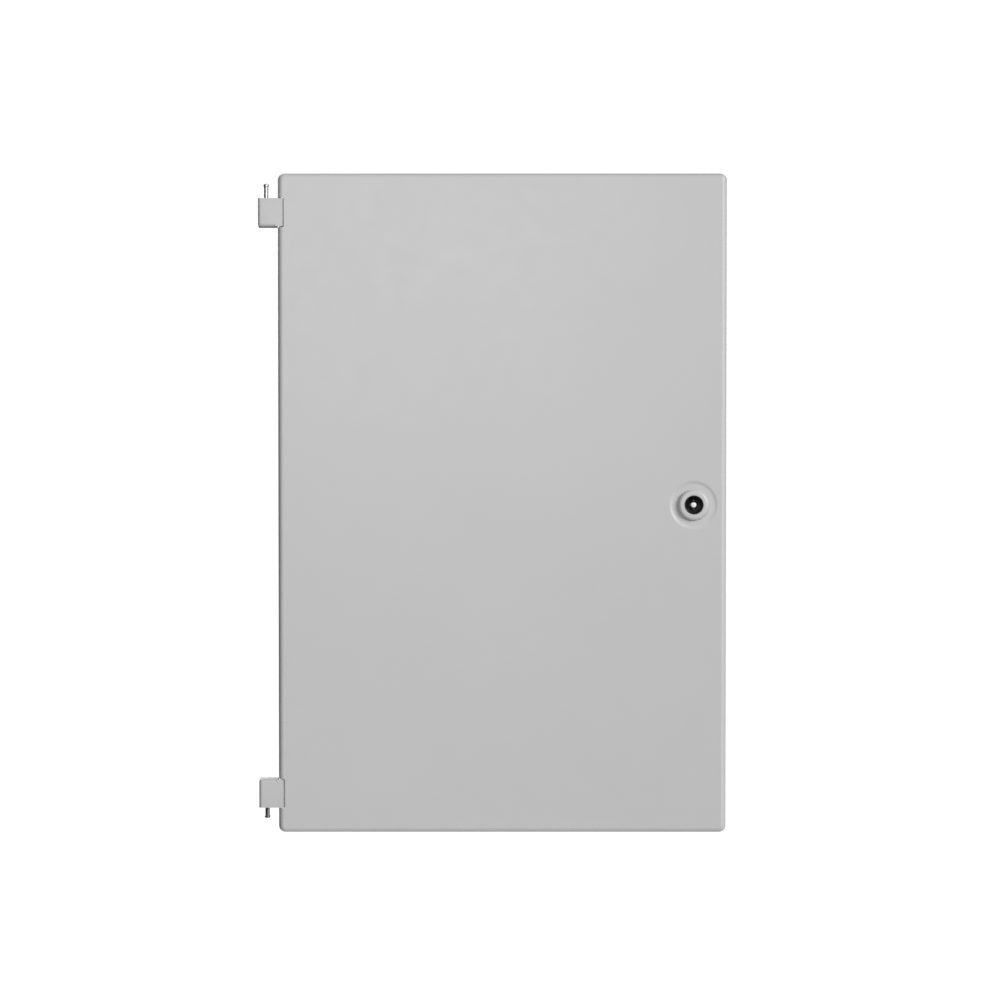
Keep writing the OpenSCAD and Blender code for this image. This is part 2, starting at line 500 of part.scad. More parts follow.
// ---------- operator's display ----------
hx = 158; hz0 = 88; hz1 = 242;
pillar_at = [[-148, 99], [148, 99], [-148, 231], [148, 231]];
led_x = [for (k = [0:7]) 12 + 18*k];
led_z = [216, 200];
button_x = [-122, -84, -46, -8];
button_z = 122;
bw = 26; bh = 16;
kx = 44; kz = 122;           // key switch
module display_pillars() color(zinc) for (p = pillar_at) {
    difference() { hex_y(p[0], p[1], ydb, yc, 7); cyl_y(p[0], p[1], ydb - 1, ydb + 9, 1.6); }
    cyl_y(p[0], p[1], yh - 1.7, yh, 3);
    cyl_y(p[0], p[1], yh - 0.5, ydb + 7, 1.5);
}
module display_housing() color([0.20, 0.21, 0.22]) difference() {
    union() {
        difference() {
            rplate_at(-hx, hx, hz0, hz1, 6, yh, yhr);
            rplate_at(-hx + 2.2, hx - 2.2, hz0 + 2.2, hz1 - 2.2, 4, yh + 2.2, yhr + 1);
        }
        for (p = pillar_at) cyl_y(p[0], p[1], yh + 1, ydb - 1.6, 4);
    }
    for (p = pillar_at) cyl_y(p[0], p[1], yh - 1, ydb, 1.7);
    bx(-140, -20, yh - 1, yh + 3, 180, 225);
    bx(-140, 140, yh - 1, yh + 0.7, 152, 166);
    for (x = led_x, z = led_z) cyl_y(x, z, yh - 1, yh + 3, 2.65);
    for (x = button_x) bx(x - bw/2 - 0.4, x + bw/2 + 0.4, yh - 1, yh + 3, button_z - bh/2 - 0.4, button_z + bh/2 + 0.4);
    cyl_y(kx, kz, yh - 1, yh + 3, 8.1);
    for (k = [0:5]) bx(96, 138, yh - 1, yh + 3, 108 + 5*k, 110.4 + 5*k);
}
module display_board() color([0.05, 0.28, 0.32]) {
    difference() {
        bx(-153, 153, ydb - 1.6, ydb, 93, 237);
        for (p = pillar_at) cyl_y(p[0], p[1], ydb - 3, ydb + 1, 1.7);
    }
    for (x = button_x) bx(x - 6, x + 6, ydb - 5.6, ydb - 1.6, button_z - 6, button_z + 6);
    // ribbon header on the rear
    difference() { bx(52, 92, ydb, ydb + 6, 104, 113); bx(53.5, 90.5, ydb + 1, ydb + 7, 105.8, 111.2); }
}
module lcd_frame() color([0.55, 0.56, 0.58]) difference() {
    bx(-144, -16, yh + 2.5, ydb - 1.6, 176, 229);
    bx(-138, -22, yh + 1, yh + 5, 182, 223);
}
module lcd_glass() color([0.30, 0.42, 0.30, 0.9]) bx(-137.8, -22.2, yh + 2.9, yh + 4.9, 182.2, 222.8);
module indicator_leds() color([0.75, 0.10, 0.06]) for (x = led_x, z = led_z) {
    cyl_y(x, z, yh - 0.4, ydb - 1.6, 2.5);
    translate([x, yh - 0.4, z]) rotate([90, 0, 0]) cylinder(r1 = 2.5, r2 = 1.4, h = 1.2);
}
module sounder() color([0.06, 0.06, 0.06]) difference() {
    cyl_y(117, 120, ydb - 11, ydb - 1.6, 12);
    cyl_y(117, 120, ydb - 12, ydb - 8, 1.6);
}
module key_switch_body() color([0.70, 0.71, 0.72]) difference() {
    union() { cyl_y(kx, kz, yh - 1.6, yh, 9.8); cyl_y(kx, kz, yh - 0.5, yh + 15, 8); }
    cyl_y(kx, kz, yh - 3, yh + 16, 6.05);
}
module key_switch_barrel() color([0.74, 0.75, 0.76]) difference() {
    cyl_y(kx, kz, yh - 2.2, yh + 13, 6);
    bx(kx - 0.7, kx + 0.7, yh - 3, yh + 6, kz - 4, kz + 4);
}
module button(x) difference() {
    union() {
        rplate_at(x - bw/2, x + bw/2, button_z - bh/2, button_z + bh/2, 3, yh - 3, ydb - 8);
        rplate_at(x - bw/2 - 1.4, x + bw/2 + 1.4, button_z - bh/2 - 1.4, button_z + bh/2 + 1.4, 3, yh + 2.6, yh + 4.2);
    }
    rplate_at(x - bw/2 + 2, x + bw/2 - 2, button_z - bh/2 + 2, button_z + bh/2 - 2, 1, yh + 2, ydb - 7);
}
// The cap's plunger
module plunger(x) cyl_y(x, button_z, yh + 1, ydb - 7.6, 3);
module button_cap(x, c) color(c) union() { button(x); plunger(x); }

// ---------- all parts ----------
back_box();
box_rim();
hinge_bracket();  // upper_hinge_bracket
mirror([0, 0, 1]) hinge_bracket();  // lower_hinge_bracket
hinge_bracket_screws();
gland_plate();
blanking_plugs();
chassis_plate();
union() { chassis_fixings(); wall_earth_stud(); display_pillars(); gland_plate_nuts(); }
main_board();
board_fixings();
terminal_blocks();
relays();
capacitors();
chips();
board_fuses();
expansion_board();
power_supply_case();
power_supply_terminals();
mains_terminal_block();
earth_bar();
battery_left();
battery_right();
battery_terminals();
battery_bracket();
battery_lead_red();
battery_lead_black();
battery_link_lead();
supply_leads();
ribbon_cable();
display_housing();
display_board();
lcd_frame();
lcd_glass();
indicator_leds();
sounder();
key_switch_body();
key_switch_barrel();
button_cap(button_x[0], [0.80, 0.62, 0.10]);  // button_silence
button_cap(button_x[1], [0.85, 0.85, 0.84]);  // button_acknowledge
button_cap(button_x[2], [0.12, 0.35, 0.62]);  // button_reset
button_cap(button_x[3], [0.85, 0.85, 0.84]);  // button_test
door_leaf();
door_gasket();
door_stiffeners();
hinge_lug();  // upper_hinge_lug
mirror([0, 0, 1]) hinge_lug();  // lower_hinge_lug
union() { hinge_lug_nuts(); door_earth_stud(); }  // door_stud_nuts
document_pocket();
door_earth_strap();
lock_housing_all();  // lock_housing
lock_seal();
lock_nut();
lock_barrel();
lock_cam();
cam_screw();
hinge_pin(upper_tail);  // upper_hinge_pin
pin_spring();  // upper_pin_spring
mirror([0, 0, 1]) hinge_pin(lower_tail);  // lower_hinge_pin
mirror([0, 0, 1]) pin_spring();  // lower_pin_spring
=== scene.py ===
import bpy, bmesh, json, math, random
from mathutils import Vector, Matrix


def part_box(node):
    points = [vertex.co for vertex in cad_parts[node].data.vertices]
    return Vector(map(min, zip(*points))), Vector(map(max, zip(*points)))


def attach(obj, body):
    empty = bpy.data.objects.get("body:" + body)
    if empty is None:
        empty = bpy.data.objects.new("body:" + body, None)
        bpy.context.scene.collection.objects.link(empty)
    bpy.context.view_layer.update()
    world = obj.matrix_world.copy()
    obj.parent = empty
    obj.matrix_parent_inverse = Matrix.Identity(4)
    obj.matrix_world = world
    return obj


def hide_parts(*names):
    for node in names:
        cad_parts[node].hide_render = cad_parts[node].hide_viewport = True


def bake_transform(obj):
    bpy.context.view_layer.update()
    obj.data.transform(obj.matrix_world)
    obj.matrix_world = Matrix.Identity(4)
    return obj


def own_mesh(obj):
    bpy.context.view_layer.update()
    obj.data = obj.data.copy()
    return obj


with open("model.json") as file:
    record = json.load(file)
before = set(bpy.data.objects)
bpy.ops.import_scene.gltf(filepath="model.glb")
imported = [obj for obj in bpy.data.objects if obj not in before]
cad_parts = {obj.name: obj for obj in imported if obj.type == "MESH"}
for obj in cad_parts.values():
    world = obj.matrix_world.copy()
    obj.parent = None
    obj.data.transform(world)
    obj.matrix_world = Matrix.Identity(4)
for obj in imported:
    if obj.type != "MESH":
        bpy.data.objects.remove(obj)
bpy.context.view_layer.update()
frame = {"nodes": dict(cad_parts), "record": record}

NODES = frame["nodes"]
SLOT = {s["node"]: s["material_slot"] for s in frame["record"]["subparts"]}
BODY = {n: b for b, ns in frame["record"]["behaviour"]["bodies"].items() for n in ns}
rnd = random.Random(7)
MM = 0.001

# ------------------------------------------------------------------ where things are (mm), from the frame
def nb(node):
    lo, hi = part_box(node)
    return [v * 1000 for v in lo], [v * 1000 for v in hi]

(dx0, yf, dz0), (dx1, yb, dz1) = nb("door_leaf")
xd, zd = dx1, dz1
SHEET = 1.5
yi = yf + SHEET
rc, re = 6.0, 5.0
lo_, hi_ = nb("cam_screw")
lx, lz = (lo_[0] + hi_[0]) / 2, (lo_[2] + hi_[2]) / 2
DISH = 0.8
lo_, hi_ = nb("upper_hinge_lug")
lug_x0, lug_y0, lug_y1 = lo_[0], lo_[1], hi_[1]
lug_zc, lug_h = (lo_[2] + hi_[2]) / 2, hi_[2] - lo_[2]
lo_, hi_ = nb("upper_pin_spring")
px, py = (lo_[0] + hi_[0]) / 2, (lo_[1] + hi_[1]) / 2
spring_z0, spring_z1 = lo_[2], hi_[2]

# ------------------------------------------------------------------ node helpers
def new_mat(name):
    m = bpy.data.materials.new(name)
    m.use_nodes = True
    nt = m.node_tree
    nt.nodes.clear()
    out = nt.nodes.new("ShaderNodeOutputMaterial")
    b = nt.nodes.new("ShaderNodeBsdfPrincipled")
    nt.links.new(b.outputs["BSDF"], out.inputs["Surface"])
    return m, nt, b

def coords(nt, scale=(1, 1, 1), rot=(0, 0, 0), loc=(0, 0, 0)):
    tc = nt.nodes.new("ShaderNodeTexCoord")
    mp = nt.nodes.new("ShaderNodeMapping")
    mp.inputs["Scale"].default_value = scale
    mp.inputs["Rotation"].default_value = rot
    mp.inputs["Location"].default_value = loc
    nt.links.new(tc.outputs["Object"], mp.inputs["Vector"])
    return mp.outputs["Vector"]

def noise(nt, vec, scale, detail=3.0, rough=0.5, out="Fac"):
    n = nt.nodes.new("ShaderNodeTexNoise")
    n.inputs["Scale"].default_value = scale
    n.inputs["Detail"].default_value = detail
    n.inputs["Roughness"].default_value = rough
    nt.links.new(vec, n.inputs["Vector"])
    return n.outputs[out]

def voronoi(nt, vec, scale, feature="F1", out="Distance", metric="EUCLIDEAN"):
    n = nt.nodes.new("ShaderNodeTexVoronoi")
    n.feature = feature
    if feature in ("F1", "F2", "SMOOTH_F1"):
        n.distance = metric
    n.inputs["Scale"].default_value = scale
    nt.links.new(vec, n.inputs["Vector"])
    return n.outputs[out]

def ramp(nt, fac, stops, interp="LINEAR"):
    r = nt.nodes.new("ShaderNodeValToRGB")
    cr = r.color_ramp
    cr.interpolation = interp
    while len(cr.elements) < len(stops):
        cr.elements.new(0.5)
    for e, (p, c) in zip(cr.elements, stops):
        e.position = p
        e.color = (*c, 1.0) if len(c) == 3 else c
    nt.links.new(fac, r.inputs["Fac"])
    return r.outputs["Color"]

def maprange(nt, v, a, b, c, d, clamp=True):
    n = nt.nodes.new("ShaderNodeMapRange")
    n.clamp = clamp
    for k, x in zip(("From Min", "From Max", "To Min", "To Max"), (a, b, c, d)):
        n.inputs[k].default_value = x
    nt.links.new(v, n.inputs["Value"])
    return n.outputs["Result"]

def mix(nt, fac, a, b, mode="MIX"):
    n = nt.nodes.new("ShaderNodeMix")
    n.data_type = "RGBA"
    n.blend_type = mode
    for sock, v in ((n.inputs[0], fac), (n.inputs[6], a), (n.inputs[7], b)):
        if isinstance(v, bpy.types.NodeSocket):
            nt.links.new(v, sock)
        elif isinstance(v, (int, float)):
            sock.default_value = v
        else:
            sock.default_value = (*v, 1.0)
    return n.outputs[2]

def math_(nt, op, a, b=None):
    n = nt.nodes.new("ShaderNodeMath")
    n.operation = op
    for i, v in enumerate((a, b)):
        if v is None:
            continue
        if isinstance(v, bpy.types.NodeSocket):
            nt.links.new(v, n.inputs[i])
        else:
            n.inputs[i].default_value = v
    return n.outputs[0]

def bump(nt, height, strength, dist, normal=None):
    n = nt.nodes.new("ShaderNodeBump")
    n.inputs["Strength"].default_value = strength
    n.inputs["Distance"].default_value = dist
    nt.links.new(height, n.inputs["Height"])
    if normal is not None:
        nt.links.new(normal, n.inputs["Normal"])
    return n.outputs["Normal"]

def tint(c, k):
    return tuple(min(1.0, max(0.0, x * k)) for x in c)

def finish_mat(nt, b, col, rough, nrm):
    nt.links.new(col, b.inputs["Base Color"])
    nt.links.new(rough, b.inputs["Roughness"])
    if nrm is not None:
        nt.links.new(nrm, b.inputs["Normal"])

# ------------------------------------------------------------------ materials
def powder(name, c, r0=0.40, r1=0.50, peel=0.16, spec=0.5, var=0.012):
    """Powder coat: cloudy tone, very fine speckle, orange-peel skin."""
    m, nt, b = new_mat(name)
    v = coords(nt)
    cloud = noise(nt, v, 9.0, 3.0, 0.55)
    speck = noise(nt, v, 2600.0, 2.0, 0.6)
    base = ramp(nt, cloud, [(0.30, tint(c, 1 - var)), (0.70, tint(c, 1 + var))])
    fine = ramp(nt, speck, [(0.35, tint(c, 0.955)), (0.65, tint(c, 1.045))])
    col = mix(nt, 0.30, base, fine)
    rough = maprange(nt, noise(nt, v, 60.0, 4.0, 0.6), 0.3, 0.7, r0, r1)
    n1 = bump(nt, noise(nt, v, 520.0, 2.0, 0.5), peel, 0.00025)
    n2 = bump(nt, speck, 0.06, 0.00008, n1)
    b.inputs["Specular IOR Level"].default_value = spec
    finish_mat(nt, b, col, rough, n2)
    return m

def plastic(name, c, r0=0.38, r1=0.52, grain=900.0, gstr=0.12, var=0.05, coat=0.0):
    """Moulded plastic: spark-eroded grain, slight flow marks."""
    m, nt, b = new_mat(name)
    v = coords(nt)
    flow = noise(nt, coords(nt, (1, 1, 0.35)), 22.0, 3.0, 0.5)
    col = ramp(nt, flow, [(0.3, tint(c, 1 - var)), (0.7, tint(c, 1 + var))])
    g = noise(nt, v, grain, 3.0, 0.6)
    rough = maprange(nt, g, 0.3, 0.7, r0, r1)
    nrm = bump(nt, g, gstr, 0.00012)
    if coat:
        b.inputs["Coat Weight"].default_value = coat
        b.inputs["Coat Roughness"].default_value = 0.12
    finish_mat(nt, b, col, rough, nrm)
    return m

def zinc(name, c=(0.60, 0.61, 0.62), r0=0.26, r1=0.42, blue=0.02):
    """Bright zinc plate: cloudy passivation and fine scratches."""
    m, nt, b = new_mat(name)
    v = coords(nt)
    cl = noise(nt, v, 120.0, 4.0, 0.6)
    col = ramp(nt, cl, [(0.3, tint(c, 0.90)), (0.55, c), (0.75, (min(1, c[0] * 1.05), min(1, c[1] * 1.06), min(1, c[2] * (1.08 + blue))))])
    sc = noise(nt, coords(nt, (40, 900, 900), (0.3, 0.2, 0.5)), 1.0, 4.0, 0.7)
    rough = maprange(nt, sc, 0.3, 0.7, r0, r1)
    b.inputs["Metallic"].default_value = 1.0
    finish_mat(nt, b, col, rough, bump(nt, sc, 0.05, 0.00006))
    return m

def galvanised(name, c=(0.56, 0.57, 0.58)):
    """Galvanised sheet: small spangle, rolled finish."""
    m, nt, b = new_mat(name)
    v = coords(nt)
    warp = mix(nt, 0.004, v, noise(nt, v, 120.0, 2.0, 0.5, "Color"), "ADD")
    cell = voronoi(nt, warp, 210.0, "F1", "Color")
    bw = nt.nodes.new("ShaderNodeRGBToBW")
    nt.links.new(cell, bw.inputs[0])
    col = ramp(nt, bw.outputs[0], [(0.2, tint(c, 0.965)), (0.5, c), (0.8, tint(c, 1.03))])
    rough = maprange(nt, bw.outputs[0], 0.2, 0.8, 0.43, 0.48)
    b.inputs["Metallic"].default_value = 1.0
    finish_mat(nt, b, col, rough, bump(nt, noise(nt, coords(nt, (30, 700, 700)), 1.0, 3.0, 0.6), 0.04, 0.00006))
    return m

def shiny(name, c, r0=0.12, r1=0.22):
    """Nickel plate or brass: light polishing lines and finger haze."""
    m, nt, b = new_mat(name)
    v = coords(nt)
    h = noise(nt, v, 140.0, 4.0, 0.6)
    col = ramp(nt, h, [(0.3, tint(c, 0.93)), (0.7, tint(c, 1.04))])
    pol = noise(nt, coords(nt, (1500, 60, 1500)), 1.0, 3.0, 0.6)
    rough = maprange(nt, pol, 0.3, 0.7, r0, r1)
    b.inputs["Metallic"].default_value = 1.0
    finish_mat(nt, b, col, rough, bump(nt, pol, 0.04, 0.00005))
    return m

def rubbery(name, c, r0=0.55, r1=0.72, var=0.10, pores=700.0, depth=0.25):
    """Rubber, foam or cable sheath: matt, faintly uneven."""
    m, nt, b = new_mat(name)
    v = coords(nt)
    n = noise(nt, v, pores, 3.0, 0.65)
    col = ramp(nt, noise(nt, v, 70.0, 3.0, 0.6), [(0.3, tint(c, 1 - var)), (0.7, tint(c, 1 + var))])
    rough = maprange(nt, n, 0.3, 0.7, r0, r1)
    b.inputs["Specular IOR Level"].default_value = 0.4
    finish_mat(nt, b, col, rough, bump(nt, n, depth, 0.00010))
    return m

def pcb(name, c):
    """Solder-masked laminate: darker copper runs under the mask, plated vias."""
    m, nt, b = new_mat(name)
    v = coords(nt, (1, 0.0, 1))
    # runs: edges of a squared-off cell pattern
    edge = voronoi(nt, v, 115.0, "F1", "Distance", "CHEBYCHEV")
    f2 = voronoi(nt, v, 115.0, "F2", "Distance", "CHEBYCHEV")
    gap = math_(nt, "SUBTRACT", f2, edge)
    runs = ramp(nt, gap, [(0.0, (1, 1, 1)), (0.075, (1, 1, 1)), (0.085, (0, 0, 0)), (1.0, (0, 0, 0))])
    hatch = nt.nodes.new("ShaderNodeTexWave")
    hatch.inputs["Scale"].default_value = 130.0
    hatch.bands_direction = "DIAGONAL"
    nt.links.new(coords(nt, (1, 0, 1)), hatch.inputs["Vector"])
    area = ramp(nt, noise(nt, v, 32.0, 1.0, 0.3), [(0.50, (0, 0, 0)), (0.515, (1, 1, 1))])
    plane = mix(nt, 0.55, (0, 0, 0), area, "MIX")
    copper = mix(nt, 1.0, runs, plane, "LIGHTEN")
    bw = nt.nodes.new("ShaderNodeRGBToBW")
    nt.links.new(copper, bw.inputs[0])
    col = ramp(nt, bw.outputs[0], [(0.0, tint(c, 0.80)), (0.5, tint(c, 1.25)), (1.0, (c[0] * 1.7, c[1] * 1.55, c[2] * 1.5))])
    via = voronoi(nt, v, 240.0)
    isvia = ramp(nt, via, [(0.0, (1, 1, 1)), (0.13, (1, 1, 1)), (0.15, (0, 0, 0))])
    col = mix(nt, isvia, col, (0.42, 0.40, 0.34))
    rough = maprange(nt, noise(nt, v, 300.0, 3.0, 0.6), 0.3, 0.7, 0.24, 0.36)
    h = math_(nt, "ADD", bw.outputs[0], maprange(nt, via, 0.0, 0.15, -0.6, 0.0))
    b.inputs["Coat Weight"].default_value = 0.25
    b.inputs["Coat Roughness"].default_value = 0.15
    finish_mat(nt, b, col, rough, bump(nt, h, 0.25, 0.00006))
    return m

def lens(name, stops, axis="X", r=0.08):
    """Tinted clear lens; the colour goes by place along one axis."""
    m, nt, b = new_mat(name)
    tc = nt.nodes.new("ShaderNodeTexCoord")
    sp = nt.nodes.new("ShaderNodeSeparateXYZ")
    nt.links.new(tc.outputs["Object"], sp.inputs[0])
    f = maprange(nt, sp.outputs[axis], 0.0, 0.2, 0.0, 1.0)
    col = ramp(nt, f, stops, "CONSTANT")
    h = noise(nt, tc.outputs["Object"], 900.0, 2.0, 0.5)
    col = mix(nt, maprange(nt, h, 0.3, 0.7, 0.0, 0.25), col, (0.9, 0.9, 0.85))
    rough = maprange(nt, h, 0.3, 0.7, r, r + 0.08)
    b.inputs["Subsurface Weight"].default_value = 0.35
    b.inputs["Subsurface Radius"].default_value = (0.002, 0.001, 0.001)
    b.inputs["Coat Weight"].default_value = 0.6
    finish_mat(nt, b, col, rough, bump(nt, h, 0.02, 0.0001))
    return m

def lcd(name):
    """Unlit character display: olive cell with a faint dot matrix."""
    m, nt, b = new_mat(name)
    v = coords(nt)
    sp = nt.nodes.new("ShaderNodeSeparateXYZ")
    nt.links.new(v, sp.inputs[0])
    def cells(sock, pitch, fill):
        f = math_(nt, "FRACT", math_(nt, "MULTIPLY", sock, 1.0 / pitch))
        return math_(nt, "LESS_THAN", f, fill)
    dots = math_(nt, "MULTIPLY", cells(sp.outputs["X"], 0.00075, 0.82), cells(sp.outputs["Z"], 0.00085, 0.82))
    chars = math_(nt, "MULTIPLY", cells(math_(nt, "ADD", sp.outputs["X"], 0.5), 0.0052, 0.80),
                  cells(math_(nt, "ADD", sp.outputs["Z"], 0.4993), 0.0092, 0.78))
    on = math_(nt, "MULTIPLY", dots, chars)
    glow = noise(nt, v, 18.0, 2.0, 0.5)
    base = ramp(nt, glow, [(0.3, (0.20, 0.27, 0.13)), (0.7, (0.26, 0.33, 0.16))])
    col = mix(nt, maprange(nt, on, 0, 1, 0.0, 0.16), base, (0.05, 0.08, 0.05))
    rough = maprange(nt, noise(nt, v, 400.0, 3.0, 0.5), 0.3, 0.7, 0.10, 0.18)
    b.inputs["Coat Weight"].default_value = 1.0
    b.inputs["Coat Roughness"].default_value = 0.04
    finish_mat(nt, b, col, rough, bump(nt, on, 0.04, 0.00003))
    return m

def striped(name, ca, cb, pitch=0.0065):
    """Two-colour earth insulation: stripes that run along the strap."""
    m, nt, b = new_mat(name)
    v = coords(nt)
    sp = nt.nodes.new("ShaderNodeSeparateXYZ")
    nt.links.new(v, sp.inputs[0])
    s = math_(nt, "ADD", sp.outputs["X"], math_(nt, "MULTIPLY", noise(nt, v, 30.0, 1.0, 0.3), 0.004))
    f = math_(nt, "FRACT", math_(nt, "MULTIPLY", s, 1.0 / pitch))
    is_a = ramp(nt, f, [(0.0, (0, 0, 0)), (0.5, (1, 1, 1))], "CONSTANT")
    var = noise(nt, v, 500.0, 2.0, 0.5)
    col = mix(nt, maprange(nt, var, 0.3, 0.7, 0.0, 0.08), mix(nt, is_a, ca, cb), (0.1, 0.1, 0.05))
    rough = maprange(nt, var, 0.3, 0.7, 0.38, 0.5)
    finish_mat(nt, b, col, rough, bump(nt, var, 0.1, 0.00008))
    return m

GREY = (0.545, 0.545, 0.545)
MAT = {
    "door_paint": powder("door_powder_coat", GREY),
    "box_paint": powder("box_powder_coat", tint(GREY, 0.99)),
    "bracket_paint": powder("bracket_powder_coat", tint(GREY, 0.97), peel=0.10),
    "lug_paint": powder("lug_powder_coat", tint(GREY, 1.0), peel=0.10),
    "stiffener_paint": powder("stiffener_powder_coat", tint(GREY, 0.99), peel=0.12),
    "zinc_fastener": zinc("zinc_plate"),
    "zinc_sheet": galvanised("galvanised_sheet"),
    "plug_plastic": plastic("plug_plastic", (0.36, 0.36, 0.365)),
    "board_green": pcb("green_laminate", (0.010, 0.085, 0.035)),
    "board_blue": pcb("blue_laminate", (0.008, 0.045, 0.12)),
    "terminal_green": plastic("terminal_green", (0.03, 0.26, 0.09), 0.34, 0.46),
    "terminal_black": plastic("terminal_black", (0.022, 0.022, 0.024), 0.36, 0.5),
    "terminal_white": plastic("terminal_white", (0.66, 0.65, 0.60), 0.34, 0.46, var=0.02),
    "relay_blue": plastic("relay_blue", (0.015, 0.055, 0.24), 0.22, 0.32, 1400.0, 0.05),
    "capacitor_sleeve": plastic("capacitor_sleeve", (0.012, 0.018, 0.05), 0.18, 0.28, 400.0, 0.04),
    "chip_black": plastic("chip_epoxy", (0.018, 0.018, 0.019), 0.42, 0.56, 2200.0, 0.18),
    "fuse_metal": shiny("nickel_clip", (0.70, 0.69, 0.66)),
    "brass_bar": shiny("brass", (0.72, 0.50, 0.20), 0.16, 0.30),
    "battery_case": plastic("battery_case", (0.030, 0.031, 0.034), 0.40, 0.55, 700.0, 0.18),
    "tinned_tab": zinc("tinned_tab", (0.66, 0.66, 0.64), 0.22, 0.34),
    "lead_red": rubbery("red_insulation", (0.42, 0.012, 0.010), 0.34, 0.46, 0.05, 900.0, 0.06),
    "lead_black": rubbery("black_insulation", (0.014, 0.014, 0.015), 0.34, 0.46, 0.08, 900.0, 0.06),
    "lead_brown": rubbery("brown_insulation", (0.11, 0.040, 0.014), 0.34, 0.46, 0.06, 900.0, 0.06),
    "ribbon_grey": rubbery("ribbon_cable", (0.33, 0.34, 0.36), 0.36, 0.5, 0.03, 900.0, 0.05),
    "display_plastic": plastic("display_moulding", (0.050, 0.053, 0.058), 0.44, 0.58, 1300.0, 0.22),
    "lcd_metal": zinc("lcd_frame_tin", (0.50, 0.50, 0.50), 0.3, 0.42),
    "lcd_window": lcd("lcd_cell"),
    "led_lens": lens("lamp_lens", [(0.0, (0.02, 0.42, 0.05)), (0.11, (0.62, 0.30, 0.01)), (0.29, (0.60, 0.012, 0.008))]),
    "sounder_black": plastic("sounder_case", (0.016, 0.016, 0.017), 0.4, 0.5),
    "lock_metal": shiny("lock_nickel", (0.64, 0.63, 0.61), 0.16, 0.26),
    "key_barrel_metal": shiny("key_barrel_nickel", (0.60, 0.59, 0.57), 0.18, 0.28),
    "button_amber": plastic("button_amber", (0.62, 0.29, 0.015), 0.30, 0.42, 1500.0, 0.10, 0.03),
    "button_white": plastic("button_white", (0.62, 0.62, 0.60), 0.30, 0.42, 1500.0, 0.10, 0.02),
    "button_blue": plastic("button_blue", (0.02, 0.11, 0.36), 0.30, 0.42, 1500.0, 0.10, 0.03),
    "gasket_foam": rubbery("gasket_foam", (0.030, 0.030, 0.032), 0.72, 0.9, 0.15, 1100.0, 0.55),
    "pocket_plastic": plastic("pocket_moulding", (0.50, 0.51, 0.52), 0.36, 0.5, 1100.0, 0.14, 0.015),
    "earth_strap": striped("earth_insulation", (0.02, 0.20, 0.03), (0.62, 0.55, 0.02)),
    "lock_zinc": powder("lock_die_cast", tint(GREY, 1.02), 0.34, 0.44, 0.05),
    "seal_rubber": rubbery("seal_rubber", (0.020, 0.020, 0.021)),
    "lock_core_metal": plastic("lock_core_black", (0.020, 0.020, 0.022), 0.30, 0.42, 600.0, 0.10),
    "cam_steel": zinc("cam_zinc"),
    "pin_steel": zinc("pin_zinc", (0.40, 0.40, 0.41), 0.30, 0.42),
    "spring_steel": zinc("spring_wire", (0.34, 0.34, 0.35), 0.24, 0.36),
}
silver = shiny("solder_tin", (0.62, 0.62, 0.60), 0.2, 0.34)
white_print = plastic("board_print", (0.72, 0.72, 0.70), 0.5, 0.6, var=0.02)
ceramic = plastic("ceramic_chip", (0.33, 0.22, 0.13), 0.4, 0.5, var=0.12)
film_red = plastic("film_capacitor", (0.42, 0.05, 0.02), 0.24, 0.34)
label_grey = plastic("label_film", (0.42, 0.43, 0.44), 0.34, 0.44, 500.0, 0.04, 0.02)
label_white = plastic("label_paper", (0.66, 0.66, 0.64), 0.45, 0.55, 800.0, 0.05, 0.015)
tie_nylon = plastic("tie_nylon", (0.66, 0.66, 0.62), 0.3, 0.42, 700.0, 0.05, 0.02)
vent_dark = plastic("recess_dark", (0.012, 0.012, 0.013), 0.5, 0.6)
pin_gold = shiny("pin_gold", (0.74, 0.55, 0.24), 0.16, 0.28)

